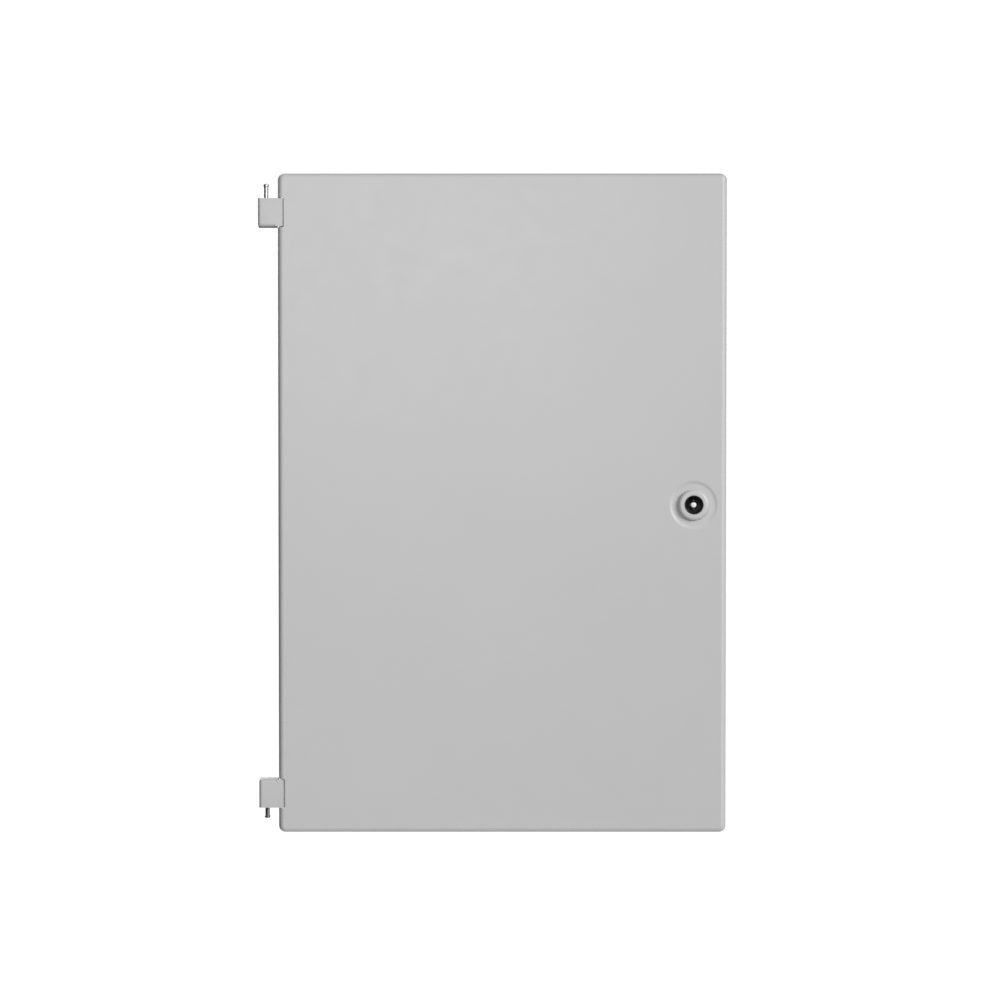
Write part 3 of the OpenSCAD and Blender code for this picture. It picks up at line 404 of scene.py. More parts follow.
# ------------------------------------------------------------------ mesh helpers (mm, row frame)
class Piece:
    """Collects solids in millimetres, and becomes one object."""
    def __init__(self):
        self.bm = bmesh.new()

    def _move(self, verts, m):
        bmesh.ops.transform(self.bm, matrix=m, verts=verts)

    def box(self, x0, x1, y0, y1, z0, z1, bev=0.2, seg=2, rot=None):
        r = bmesh.ops.create_cube(self.bm, size=1.0)
        vs = r["verts"]
        bmesh.ops.scale(self.bm, vec=(abs(x1 - x0), abs(y1 - y0), abs(z1 - z0)), verts=vs)
        if bev:
            es = list({e for v in vs for e in v.link_edges})
            out = bmesh.ops.bevel(self.bm, geom=es, offset=min(bev, 0.45 * min(abs(x1 - x0), abs(y1 - y0), abs(z1 - z0))),
                                  segments=seg, profile=0.5, affect="EDGES", clamp_overlap=True)
            vs = list({v for f in out["faces"] for v in f.verts} | {v for v in vs if v.is_valid})
            seen, stack = set(vs), list(vs)
            while stack:
                v = stack.pop()
                for e in v.link_edges:
                    w = e.other_vert(v)
                    if w not in seen:
                        seen.add(w)
                        stack.append(w)
            vs = list(seen)
        m = Matrix.Translation(((x0 + x1) / 2, (y0 + y1) / 2, (z0 + z1) / 2))
        if rot is not None:
            m = m @ rot
        self._move(vs, m)
        return vs

    def lathe(self, profile, centre, axis="Y", seg=32, closed=False):
        """Turns (radius, height) points about an axis through centre; heights are absolute along it."""
        cx, cy, cz = centre
        rings = []
        for r, h in profile:
            if r < 1e-6:
                p = {"Y": (cx, h, cz), "Z": (cx, cy, h), "X": (h, cy, cz)}[axis]
                rings.append([self.bm.verts.new(p)])
                continue
            ring = []
            for k in range(seg):
                a = 2 * math.pi * k / seg
                u, v = r * math.cos(a), r * math.sin(a)
                p = {"Y": (cx + u, h, cz + v), "Z": (cx + u, cy + v, h), "X": (h, cy + u, cz + v)}[axis]
                ring.append(self.bm.verts.new(p))
            rings.append(ring)
        pairs = list(zip(rings, rings[1:]))
        if closed:
            pairs.append((rings[-1], rings[0]))
        for a, b in pairs:
            if len(a) == 1 and len(b) == 1:
                continue
            for k in range(seg):
                k2 = (k + 1) % seg
                if len(a) == 1:
                    self.bm.faces.new((a[0], b[k2], b[k]))
                elif len(b) == 1:
                    self.bm.faces.new((a[k], a[k2], b[0]))
                else:
                    self.bm.faces.new((a[k], a[k2], b[k2], b[k]))

    def rod(self, r, h0, h1, centre, axis="Y", ch=0.3, seg=24):
        c = min(ch, abs(h1 - h0) * 0.4, r * 0.5)
        s = 1 if h1 > h0 else -1
        self.lathe([(0, h0), (r - c, h0), (r - 0.3 * c, h0 + 0.3 * c * s), (r, h0 + c * s), (r, h1 - c * s),
                    (r - 0.3 * c, h1 - 0.3 * c * s), (r - c, h1), (0, h1)], centre, axis, seg)

    def sweep(self, pts, radius, sides=12, caps=True, squash=None):
        """A tube along pts; radius is a number or one per point; squash is not used."""
        n = len(pts)
        pts = [Vector(p) for p in pts]
        t0 = (pts[1] - pts[0]).normalized()
        ref = Vector((0, 0, 1)) if abs(t0.z) < 0.9 else Vector((1, 0, 0))
        u = t0.cross(ref).normalized()
        rings = []
        for i, p in enumerate(pts):
            t = (pts[min(i + 1, n - 1)] - pts[max(i - 1, 0)]).normalized()
            u = (u - t * u.dot(t)).normalized()
            w = t.cross(u)
            r = radius[i] if isinstance(radius, (list, tuple)) else radius
            rings.append([self.bm.verts.new(p + u * r * math.cos(2 * math.pi * k / sides) + w * r * math.sin(2 * math.pi * k / sides))
                          for k in range(sides)])
        for a, b in zip(rings, rings[1:]):
            for k in range(sides):
                k2 = (k + 1) % sides
                self.bm.faces.new((a[k], a[k2], b[k2], b[k]))
        if caps:
            self.bm.faces.new(rings[0][::-1])
            self.bm.faces.new(rings[-1])

    def strip(self, section, pts_fn, n):
        """Sweeps a closed 2-D section; pts_fn(i) gives (origin, u, v) of station i."""
        rings = []
        for i in range(n):
            o, u, v = pts_fn(i)
            rings.append([self.bm.verts.new(o + u * a + v * b) for a, b in section])
        k = len(section)
        for a, b in zip(rings, rings[1:]):
            for j in range(k):
                j2 = (j + 1) % k
                self.bm.faces.new((a[j], a[j2], b[j2], b[j]))
        self.bm.faces.new(rings[0][::-1])
        self.bm.faces.new(rings[-1])

    def done(self, name, mat, body, slot=None, stands_for=(), smooth=35.0, ride=True, flat=False):
        bm = self.bm
        bmesh.ops.recalc_face_normals(bm, faces=bm.faces)
        bmesh.ops.scale(bm, vec=(MM, MM, MM), verts=bm.verts)
        me = bpy.data.meshes.new(name)
        bm.to_mesh(me)
        bm.free()
        for p in me.polygons:
            p.use_smooth = True
        me.set_sharp_from_angle(angle=math.radians(smooth))
        me.materials.append(mat)
        o = bpy.data.objects.new(name, me)
        bpy.context.scene.collection.objects.link(o)
        if flat:                                       # keeps big flat faces flat next to small rounded edges
            w = o.modifiers.new("normals", "WEIGHTED_NORMAL")
            w.keep_sharp = True
            w.weight = 90
        if ride:
            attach(o, body)
        if stands_for:
            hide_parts(*stands_for)
        return o

def catmull(pts, n):
    pts = [Vector(p) for p in pts]
    out = []
    m = len(pts)
    for i in range(m - 1):
        p0, p1, p2, p3 = pts[max(i - 1, 0)], pts[i], pts[i + 1], pts[min(i + 2, m - 1)]
        for k in range(n):
            t = k / n
            out.append(0.5 * ((2 * p1) + (p2 - p0) * t + (2 * p0 - 5 * p1 + 4 * p2 - p3) * t * t + (3 * p1 - p0 - 3 * p2 + p3) * t * t * t))
    out.append(pts[-1])
    return out

def rr(hx, hz, r, seg=8, cx=0.0, cz=0.0):
    """Rounded rectangle in X and Z, counter-clockwise."""
    pts = []
    for (sx, sz, a0) in ((1, 1, 0), (-1, 1, 90), (-1, -1, 180), (1, -1, 270)):
        for k in range(seg + 1):
            a = math.radians(a0 + 90 * k / seg)
            pts.append((cx + sx * (hx - r) + r * math.cos(a), cz + sz * (hz - r) + r * math.sin(a)))
    return pts

def bridge(bm, a, b):
    n = len(a)
    for k in range(n):
        bm.faces.new((a[k], a[(k + 1) % n], b[(k + 1) % n], b[k]))

def ring_edges(bm, ring):
    return [bm.edges.get((ring[k], ring[(k + 1) % len(ring)])) or bm.edges.new((ring[k], ring[(k + 1) % len(ring)])) for k in range(len(ring))]

# ------------------------------------------------------------------ CAD nodes that stay: crisp small edges, own materials
BEVEL = {  # node: (edge radius mm, segments)
    "back_box": (0.5, 2), "box_rim": (0.6, 2), "upper_hinge_bracket": (0.35, 2), "lower_hinge_bracket": (0.35, 2),
    "hinge_bracket_screws": (0.5, 2), "blanking_plugs": (0.5, 2), "chassis_plate": (0.3, 2), "chassis_fixings": (0.3, 2),
    "board_fixings": (0.2, 1), "terminal_blocks": (0.18, 1), "relays": (0.5, 2), "chips": (0.15, 1), "board_fuses": (0.15, 1),
    "main_board": (0.1, 1), "expansion_board": (0.1, 1), "power_supply_case": (0.4, 2), "power_supply_terminals": (0.3, 2),
    "mains_terminal_block": (0.5, 2), "earth_bar": (0.4, 2), "battery_terminals": (0.12, 1), "battery_bracket": (0.3, 2),
    "display_housing": (0.6, 3), "display_board": (0.15, 1), "lcd_frame": (0.3, 2), "lcd_glass": (0.1, 1),
    "indicator_leds": (0.25, 2), "key_switch_body": (0.4, 2), "key_switch_barrel": (0.3, 2),
    "button_silence": (0.6, 3), "button_acknowledge": (0.6, 3), "button_reset": (0.6, 3), "button_test": (0.6, 3),
    "door_stiffeners": (0.4, 2), "upper_hinge_lug": (0.4, 2), "lower_hinge_lug": (0.4, 2), "door_stud_nuts": (0.2, 1),
    "document_pocket": (0.5, 2), "lock_seal": (0.1, 1), "lock_nut": (0.4, 2),
    "lock_barrel": (0.25, 2), "lock_cam": (0.3, 2), "cam_screw": (0.3, 2), "upper_hinge_pin": (0.15, 2), "lower_hinge_pin": (0.15, 2),
    "lock_housing": (0.15, 2), "sounder": (0.5, 2), "capacitors": (0.6, 2),
}

def dress(name):
    o = NODES[name]
    me = o.data
    mat = MAT[SLOT[name]]
    if o.material_slots:
        for s in o.material_slots:
            s.material = mat
    else:
        me.materials.append(mat)
    att = me.attributes.get("custom_normal")
    if att is not None:
        me.attributes.remove(att)
    for p in me.polygons:
        p.use_smooth = True
    w = o.modifiers.new("weld", "WELD")
    w.merge_threshold = 3e-6
    if name in BEVEL:
        r, seg = BEVEL[name]
        b = o.modifiers.new("edge", "BEVEL")
        b.width = r * MM
        b.segments = seg
        b.limit_method = "ANGLE"
        b.angle_limit = math.radians(34)
        b.use_clamp_overlap = True
        b.harden_normals = True
        b.miter_outer = "MITER_ARC"

for n in NODES:
    dress(n)

# ------------------------------------------------------------------ door leaf
def make_door():
    bm = bmesh.new()
    S = 10
    def ring(inset, y, r):
        return [bm.verts.new((x, y, z)) for x, z in rr(xd - inset, zd - inset, max(r, 0.4), S)]
    def circle(r, y, n=72):
        return [bm.verts.new((lx + r * math.cos(2 * math.pi * k / n), y, lz + r * math.sin(2 * math.pi * k / n))) for k in range(n)]
    # outside: rear lip, flange, bent edge, face
    outer = [(0.55, yb, rc - 0.5), (0.16, yb - 0.16, rc - 0.15), (0.0, yb - 0.55, rc), (0.0, yf + re + 6, rc), (0.0, yf + re, rc)]
    for k in range(1, 11):
        a = math.radians(9 * k)
        outer.append((re - re * math.cos(a), yf + re - re * math.sin(a), rc - (re - re * math.cos(a))))
    outer = [ring(i, y, r) for i, y, r in outer]
    ri = re - SHEET
    inner = [(0.95, yb, rc - 0.9), (1.34, yb - 0.16, rc - 1.3), (SHEET, yb - 0.55, rc - SHEET), (SHEET, yf + re, rc - SHEET)]
    for k in range(1, 7):
        a = math.radians(15 * k)
        inner.append((SHEET + ri - ri * math.cos(a), yf + re - ri * math.sin(a), rc - SHEET - (ri - ri * math.cos(a))))
    inner = [ring(i, y, r) for i, y, r in inner]
    for a, b in zip(outer, outer[1:]):
        bridge(bm, a, b)
    for a, b in zip(inner, inner[1:]):
        bridge(bm, a, b)
    bridge(bm, outer[0], inner[0])
    # pressed dish and the lock's hole
    face = [(22.6, 0.0), (22.0, 0.03), (21.5, 0.12), (21.0, 0.27), (20.5, 0.45), (20.0, 0.61), (19.5, 0.72), (19.0, 0.78), (18.3, 0.80),
            (11.7, 0.80), (11.35, 0.88), (11.2, 1.1), (11.2, 2.0), (11.35, 2.22), (11.7, 2.30),
            (19.2, 2.30), (20.2, 2.24), (21.0, 2.05), (21.8, 1.78), (22.4, 1.58), (23.0, 1.50)]
    disc = [circle(r, yf + d) for r, d in face]
    for a, b in zip(disc, disc[1:]):
        bridge(bm, a, b)
    bmesh.ops.triangle_fill(bm, use_beauty=True, edges=ring_edges(bm, outer[-1]) + ring_edges(bm, disc[0]))
    bmesh.ops.triangle_fill(bm, use_beauty=True, edges=ring_edges(bm, inner[-1]) + ring_edges(bm, disc[-1]))
    bmesh.ops.recalc_face_normals(bm, faces=bm.faces)
    bmesh.ops.scale(bm, vec=(MM, MM, MM), verts=bm.verts)
    me = bpy.data.meshes.new("door_skin")
    bm.to_mesh(me)
    bm.free()
    o = bpy.data.objects.new("door_skin", me)
    bpy.context.scene.collection.objects.link(o)
    # notches for the hinge lugs
    cut = bmesh.new()
    for s in (1, -1):
        hx, hz, r = 10.0, lug_h / 2 + 0.5, 1.4
        cx, cz = -xd + 6 - hx, s * lug_zc
        a = [cut.verts.new(((x) * MM, (yf - 4) * MM, z * MM)) for x, z in rr(hx, hz, r, 6, cx, cz)]
        b = [cut.verts.new(((x) * MM, (yb + 4) * MM, z * MM)) for x, z in rr(hx, hz, r, 6, cx, cz)]
        bridge(cut, a, b)
        cut.faces.new(a)
        cut.faces.new(b[::-1])
    bmesh.ops.recalc_face_normals(cut, faces=cut.faces)
    cm = bpy.data.meshes.new("notch_cutter")
    cut.to_mesh(cm)
    cut.free()
    c = bpy.data.objects.new("notch_cutter", cm)
    bpy.context.scene.collection.objects.link(c)
    mod = o.modifiers.new("notch", "BOOLEAN")
    mod.operation = "DIFFERENCE"
    mod.solver = "EXACT"
    mod.object = c
    dg = bpy.context.evaluated_depsgraph_get()
    done = bpy.data.meshes.new_from_object(o.evaluated_get(dg))
    o.modifiers.clear()
    o.data = done
    bpy.data.objects.remove(c)
    for p in done.polygons:
        p.use_smooth = True
    done.set_sharp_from_angle(angle=math.radians(35))
    w = o.modifiers.new("normals", "WEIGHTED_NORMAL")
    w.keep_sharp = True
    w.weight = 80
    done.materials.clear()
    done.materials.append(MAT["door_paint"])
    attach(o, "door")
    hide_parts("door_leaf")
    return o

door = make_door()

# ------------------------------------------------------------------ coil springs on the hinge pins
def coil(name, node, z0, z1):
    p = Piece()
    turns, steps = 8.0, 22
    r, w = 2.98, 0.36
    span = z1 - z0
    pts = []
    total = int((turns + 1.5) * steps)
    for i in range(total + 1):
        t = i / steps
        if t < 0.75:
            h = w + 2 * w * t * 0.9
        elif t > turns + 0.75:
            h = abs(span) - w - 2 * w * (turns + 1.5 - t) * 0.9
        else:
            a, b = w + 2 * w * 0.75 * 0.9, abs(span) - w - 2 * w * 0.75 * 0.9
            h = a + (b - a) * (t - 0.75) / turns
        ang = 2 * math.pi * t
        pts.append((px + r * math.cos(ang), py + r * math.sin(ang), z0 + math.copysign(h, span)))
    p.sweep(pts, w, 8)
    o = p.done(name, MAT["spring_steel"], "door", "spring_steel", (node,), 60)
    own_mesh(o)
    return o

coil("upper_pin_coil", "upper_pin_spring", spring_z0, spring_z1)
coil("lower_pin_coil", "lower_pin_spring", -spring_z0, -spring_z1)

# ------------------------------------------------------------------ cutting real recesses into copies of CAD pieces
def carve(node, cutter, name, mat=None):
    """A copy of a CAD piece with cutter (a Piece) taken out of it; it stands for the CAD piece."""
    src = NODES[node]
    me = src.data.copy()
    me.transform(src.matrix_world)
    att = me.attributes.get("custom_normal")
    if att is not None:
        me.attributes.remove(att)
    bm = bmesh.new()
    bm.from_mesh(me)
    bmesh.ops.remove_doubles(bm, verts=bm.verts, dist=3e-6)
    bm.to_mesh(me)
    bm.free()
    o = bpy.data.objects.new(name, me)
    bpy.context.scene.collection.objects.link(o)
    bmesh.ops.recalc_face_normals(cutter.bm, faces=cutter.bm.faces)
    bmesh.ops.scale(cutter.bm, vec=(MM, MM, MM), verts=cutter.bm.verts)
    cm = bpy.data.meshes.new(name + "_cutter")
    cutter.bm.to_mesh(cm)
    cutter.bm.free()
    c = bpy.data.objects.new(name + "_cutter", cm)
    bpy.context.scene.collection.objects.link(c)
    b = o.modifiers.new("cut", "BOOLEAN")
    b.operation, b.solver, b.object = "DIFFERENCE", "EXACT", c
    done = bpy.data.meshes.new_from_object(o.evaluated_get(bpy.context.evaluated_depsgraph_get()))
    o.modifiers.clear()
    o.data = done
    bpy.data.objects.remove(c)
    done.materials.clear()
    done.materials.append(mat or MAT[SLOT[node]])
    for p in done.polygons:
        p.use_smooth = True
        p.material_index = 0
    r, seg = BEVEL.get(node, (0.15, 1))
    b = o.modifiers.new("edge", "BEVEL")
    b.width, b.segments, b.limit_method, b.angle_limit = r * MM, seg, "ANGLE", math.radians(34)
    b.use_clamp_overlap, b.harden_normals = True, True
    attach(o, BODY[node])
    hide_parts(node)
    return o

def cross(p, x, z, y, w=0.8, l=3.2, depth=0.9, turn=20):
    for a in (turn, turn + 90):
        p.box(x - l / 2, x + l / 2, y - 1, y + depth, z - w / 2, z + w / 2, 0, rot=Matrix.Rotation(math.radians(a), 4, "Y"))

def slotted(p, x, y, z, r, h=1.0, w=0.7, axis="Y", turn=0.0, seg=18):
    """A slotted screw head facing -Y (or +Z): a disc with two raised D shapes."""
    def put(u, v, d):
        c, s = math.cos(turn), math.sin(turn)
        u, v = u * c - v * s, u * s + v * c
        return (x + u, y + d, z + v) if axis == "Y" else (x + u, y + v, z - d)
    for sgn in (1, -1):
        a0 = math.asin(min(0.9, w / 2 / r))
        pts = [(sgn * r * math.sin(a0 + (math.pi - 2 * a0) * k / seg) , -r * math.cos(a0 + (math.pi - 2 * a0) * k / seg)) for k in range(seg + 1)]
        pts = [(v, u) if False else (u, v) for u, v in pts]
        lo = [p.bm.verts.new(put(u, v, h)) for u, v in pts]
        mid = [p.bm.verts.new(put(u, v, 0.18)) for u, v in pts]
        hi = [p.bm.verts.new(put(u * 0.93, v * 0.93, 0.0)) for u, v in pts]
        bridge(p.bm, lo, mid)
        bridge(p.bm, mid, hi)
        p.bm.faces.new(hi)
        p.bm.faces.new(lo[::-1])
    if axis == "Y":
        p.rod(r * 0.98, y + h * 0.55, y + h + 1.6, (x, 0, z), "Y", 0.1, 24)
    else:
        p.rod(r * 0.98, z - h - 1.6, z - h * 0.55, (x, y, 0), "Z", 0.1, 24)

YC = nb("chassis_plate")[1][1] - SHEET         # front face of the chassis plate
YM = YC - 10
YT = YM - 1.6                                   # front face of the boards
YH = nb("display_housing")[0][1]
YD = nb("display_board")[1][1] - 6              # rear face of the display board
WIN = {n: nb(n) for n in NODES}

# ------------------------------------------------------------------ lock
yls = yf + DISH
lo_, hi_ = nb("lock_housing")
y_back, y_front = hi_[1], lo_[1]
p = Piece()
prof = [(8.6, y_front + 0.45), (8.75, y_front + 0.18), (9.05, y_front)]
br = hi_[0] - lx
for k in range(13):
    a = math.radians(90 - 7.5 * k)
    prof.append((br - 2.9 + 2.9 * math.cos(a), y_front + 2.9 - 2.9 * math.sin(a)))
prof += [(br, yls - 0.62), (br - 0.12, yls - 0.5), (10.9, yls - 0.5), (10.9, yls + 1.4)]
y = yls + 1.4
while y + 1.0 < y_back - 0.6:
    prof += [(10.9, y + 0.15), (10.45, y + 0.5), (10.9, y + 0.85)]
    y += 1.0
prof += [(10.9, y_back - 0.5), (10.4, y_back), (5.3, y_back), (5.05, y_back - 0.25), (5.05, yb - 0.9), (8.6, yb - 0.9), (8.6, y_front + 0.45)]
p.lathe(prof[:-1], (lx, 0, lz), "Y", 96, closed=True)
p.done("lock_body_visual", MAT["lock_zinc"], "door", "lock_zinc", ("lock_housing",), 28, flat=True)

p = Piece()
p.lathe([(7.6, yls + 10.5), (7.6, yls - 2.9), (7.75, yls - 3.25), (8.05, yls - 3.4), (8.35, yls - 3.3), (8.55, yls - 3.0), (8.55, yb - 1.5), (8.35, yb - 1.3),
         (5.0, yb - 1.3), (5.0, yb + 4.2), (0, yb + 4.2), (0, yls + 10.5)], (lx, 0, lz), "Y", 72)
p.bm.faces.ensure_lookup_table()
for s in (1, -1):
    p.box(lx - 0.95, lx + 0.95, yls - 1.35, yls + 10.8, lz + s * 3.4 - 1.2, lz + s * 3.4 + 1.2, 0.3)
p.box(lx - 3.5, lx + 3.5, yb + 4.1, yb + 7.4, lz - 3.5, lz + 3.5, 0.4)
p.done("lock_core_visual", MAT["lock_core_metal"], "lock_core", "lock_core_metal", ("lock_barrel",), 35, flat=True)
p = Piece()
p.lathe([(0, yls - 1.4)] + [(2.5 * math.sin(math.radians(a)), yls - 0.55 - 0.85 * math.cos(math.radians(a))) for a in range(12, 91, 13)]
        + [(2.5, yls + 10.7), (0, yls + 10.7)], (lx, 0, lz), "Y", 40)
# the zinc pin gets a light non-metallic colour: partly the zinc's own pale tone, partly a painted highlight that reads
# bright under any light
p.done("lock_centre_pin", powder("pin_pale_zinc_painted_highlight", (0.86, 0.86, 0.85), 0.28, 0.36, 0.03, 0.7), "lock_core", "lock_core_metal", (), 40)

# ------------------------------------------------------------------ gasket: a foamed bead with a D section
lo_, hi_ = nb("door_gasket")
gx0, gz0, gy0, gy1 = hi_[0], hi_[2], yi, hi_[1]
prof = [(0.0, gy0 + 0.02), (0.25, gy0 + 1.6)]
for k in range(0, 17):
    a = math.radians(180 - 11.25 * k)
    prof.append((4.5 + 4.1 * math.cos(a), gy1 - 5.2 + 5.2 * abs(math.sin(a)) ** 0.8))
prof += [(8.75, gy0 + 1.6), (9.0, gy0 + 0.02)]
bm = bmesh.new()
rings = []
for inset, y in prof:
    r = max(1.5, 6.0 - inset * 0.33)
    pts = rr(gx0 - inset, gz0 - inset, r, 8)
    fine = []
    for i, (x, z) in enumerate(pts):
        x2, z2 = pts[(i + 1) % len(pts)]
        n = max(1, int(math.hypot(x2 - x, z2 - z) / 6.0))
        fine += [(x + (x2 - x) * k / n, z + (z2 - z) * k / n) for k in range(n)]
    rings.append(fine)
n = min(len(r) for r in rings)
def resample(r, n):
    L = [0.0]
    for i in range(len(r)):
        x, z = r[i]
        x2, z2 = r[(i + 1) % len(r)]
        L.append(L[-1] + math.hypot(x2 - x, z2 - z))
    out, j = [], 0
    for k in range(n):
        t = L[-1] * k / n
        while L[j + 1] < t:
            j += 1
        f = (t - L[j]) / max(1e-9, L[j + 1] - L[j])
        x, z = r[j]
        x2, z2 = r[(j + 1) % len(r)]
        out.append((x + (x2 - x) * f, z + (z2 - z) * f))
    return out
def corner_rings(inset, y):
    """The same corner-by-corner point count at every inset, so that the bead doesn't twist."""
    r = max(1.5, 6.0 - inset * 0.33)
    hx, hz = gx0 - inset, gz0 - inset
    pts = []
    for q, (sx, sz) in enumerate(((1, 1), (-1, 1), (-1, -1), (1, -1))):
        for k in range(9):
            a = math.radians(90 * q + 90 * k / 8)
            pts.append((sx * (hx - r) + r * math.cos(a), sz * (hz - r) + r * math.sin(a)))
        nx = ((-1, 1), (-1, -1), (1, -1), (1, 1))[q]
        m = 40 if q % 2 == 0 else 60
        x0, z0 = pts[-1]
        a = math.radians(90 * (q + 1))
        x1, z1 = nx[0] * (hx - r) + r * math.cos(a), nx[1] * (hz - r) + r * math.sin(a)
        pts += [(x0 + (x1 - x0) * k / m, z0 + (z1 - z0) * k / m) for k in range(1, m)]
    lug = lug_h / 2 + 0.4
    out = []
    for x, z in pts:
        yy = y
        # the bead rides up over the hinge lugs' plates and round the lock's boss
        if x < -xd + 37.2 and abs(abs(z) - lug_zc) < lug:
            yy = max(y, yi + 2.25)
        d = math.hypot(x - lx, z - lz)
        if d < 22.9:
            yy = max(yy, yi + DISH + 0.32)
        out.append(bm.verts.new((x, yy, z)))
    return out
loops = [corner_rings(i, y) for i, y in prof]
for a, b in zip(loops, loops[1:]):
    bridge(bm, a, b)
bridge(bm, loops[-1], loops[0])
p = Piece()
p.bm.free()
p.bm = bm
p.done("gasket_bead", MAT["gasket_foam"], "door", "gasket_foam", ("door_gasket",), 50)

# ------------------------------------------------------------------ earth strap from the door to the side wall
esz, esy, wall_x = -60.0, -76.0, -198.5
route = [(-176, yi + 6.2, esz - 4.85), (-177, yi + 7, esz - 18), (-178, yi + 14, esz - 40), (-180, yi + 28, esz - 58),
         (-182, yi + 44, esz - 60), (-186, yi + 58, esz - 46), (-190, yi + 66, esz - 28), (-193.6, yi + 71, esz - 14), (-194.5, esy, esz - 4.85)]
path_ = catmull(route, 12)
p = Piece()
p.sweep(path_[5:-5], 2.2, 16)
strap = p.done("earth_strap_wire", MAT["earth_strap"], "door", "earth_strap", ("door_earth_strap",), 60, ride=False)
ring_a = Piece()
ring_a.lathe([(2.65, yi + 5.65), (2.75, yi + 5.6), (4.9, yi + 5.6), (5.0, yi + 5.7), (5.0, yi + 6.7), (4.9, yi + 6.8), (2.75, yi + 6.8), (2.65, yi + 6.7)], (-176, 0, esz), "Y", 40, closed=True)
ring_a.sweep([path_[0] + Vector((0, 0, 1.2)), path_[1], path_[4], path_[6], path_[9]], [1.5, 2.1, 2.45, 2.45, 2.4], 16)
lug_a = ring_a.done("earth_lug_door", silver, "door", "tinned_tab", (), 40)
ring_b = Piece()
ring_b.lathe([(2.65, wall_x + 3.45), (2.75, wall_x + 3.4), (4.9, wall_x + 3.4), (5.0, wall_x + 3.5), (5.0, wall_x + 4.5), (4.9, wall_x + 4.6), (2.75, wall_x + 4.6), (2.65, wall_x + 4.5)], (0, esy, esz), "X", 40, closed=True)
ring_b.sweep([path_[-1] + Vector((0, 0, 1.2)), path_[-2], path_[-5], path_[-7], path_[-10]], [1.5, 2.1, 2.45, 2.45, 2.4], 16)
lug_b = ring_b.done("earth_lug_wall", silver, "cabinet", "tinned_tab", (), 40)
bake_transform(strap)

# ------------------------------------------------------------------ leads
def lead(name, mat, slot_, routes, r, node, boots=(), sides=12, tips=()):
    p = Piece()
    for pts in routes:
        c = catmull(pts, 9)
        p.sweep(c, r, sides)
    for x, y, z in boots:
        p.box(x - 4.3, x + 4.3, y - 2.2, y + 2.2, z, z + 8.2, 1.0, 3)
        p.lathe([(3.6, z + 7.4), (3.3, z + 8.6), (2.5, z + 9.6), (2.2, z + 10.8), (r + 0.1, z + 10.8)], (x, y, 0), "Z", 20)
    return p.done(name, mat, BODY[node], slot_, (node,), 50)

tz = WIN["battery_terminals"][0][2]
ty = (WIN["battery_terminals"][0][1] + WIN["battery_terminals"][1][1]) / 2
tabs = (-148, -15, 15, 148)
wy = YT - 6.1
bz0 = WIN["main_board"][0][2]
red = [(148, ty, tz + 9), (148, ty, tz + 19), (156, ty + 6, tz + 29), (168, -48, tz + 46), (170.5, -40, tz + 66), (170.5, -36, tz + 90),
       (168, -33, tz + 112), (156, -32.6, tz + 124), (134, wy, tz + 126), (117.5, wy, tz + 130), (115.5, wy, bz0 + 4.2)]
black = [(-148, ty, tz + 9), (-148, ty, tz + 19), (-156, ty + 6, tz + 29), (-168, -48, tz + 46), (-170.5, -40, tz + 66), (-170.5, -36, tz + 90),
         (-168, -33, tz + 112), (-156, -32.6, tz + 124), (-138, wy, tz + 126), (-122.5, wy, tz + 130), (-120.5, wy, bz0 + 4.2)]
link = [(-15, ty, tz + 9), (-15, ty, tz + 18), (-11, ty - 1, tz + 24), (0, ty - 2, tz + 27), (11, ty - 1, tz + 24), (15, ty, tz + 18), (15, ty, tz + 9)]
lead("red_lead", MAT["lead_red"], "lead_red", [red], 1.6, "battery_lead_red", [(148, ty, tz + 1.2)])
lead("black_lead", MAT["lead_black"], "lead_black", [black], 1.6, "battery_lead_black", [(-148, ty, tz + 1.2)])
lead("link_lead", MAT["lead_black"], "lead_black", [link], 1.6, "battery_link_lead", [(-15, ty, tz + 1.2), (15, ty, tz + 1.2)])
def pz(k):
    return -166.5 + 12 * k
sup = [
    [(15.5, YC - 20, -158), (15.5, YC - 27, -158), (13.5, YC - 31, -153), (4, YC - 31, -149.5), (-8, YC - 27, -154), (-17, YC - 20, -163), (-27, YC - 16, pz(0))],
    [(28.5, YC - 20, -158), (28.5, YC - 27, -158), (27.5, YC - 33, -151), (16, YC - 36, -142), (-6, YC - 33, -142), (-16, YC - 23, -151), (-27, YC - 16, pz(1))],
    [(41.5, YC - 20, -158), (41.5, YC - 27, -158), (41, YC - 35, -149), (26, YC - 41, -133), (-2, YC - 38, -131), (-15, YC - 26, -138), (-27, YC - 16, pz(2))],
    [(-27, YC - 16, pz(5)), (-14, YC - 24, -104), (-5, YC - 27, -90), (-12, YC - 27, -75), (-40, YC - 23, -69), (-65, wy - 1, -68), (-69.5, wy, bz0 + 4.2)],
    [(-27, YC - 16, pz(6)), (-17, YC - 22, -92), (-15.5, YC - 23.5, -83), (-26, YC - 23, -78), (-58, YC - 20, -77), (-80, wy - 1, -74), (-84.5, wy, bz0 + 4.2)]]
lead("supply_wires", MAT["lead_brown"], "lead_brown", sup, 1.3, "supply_leads")

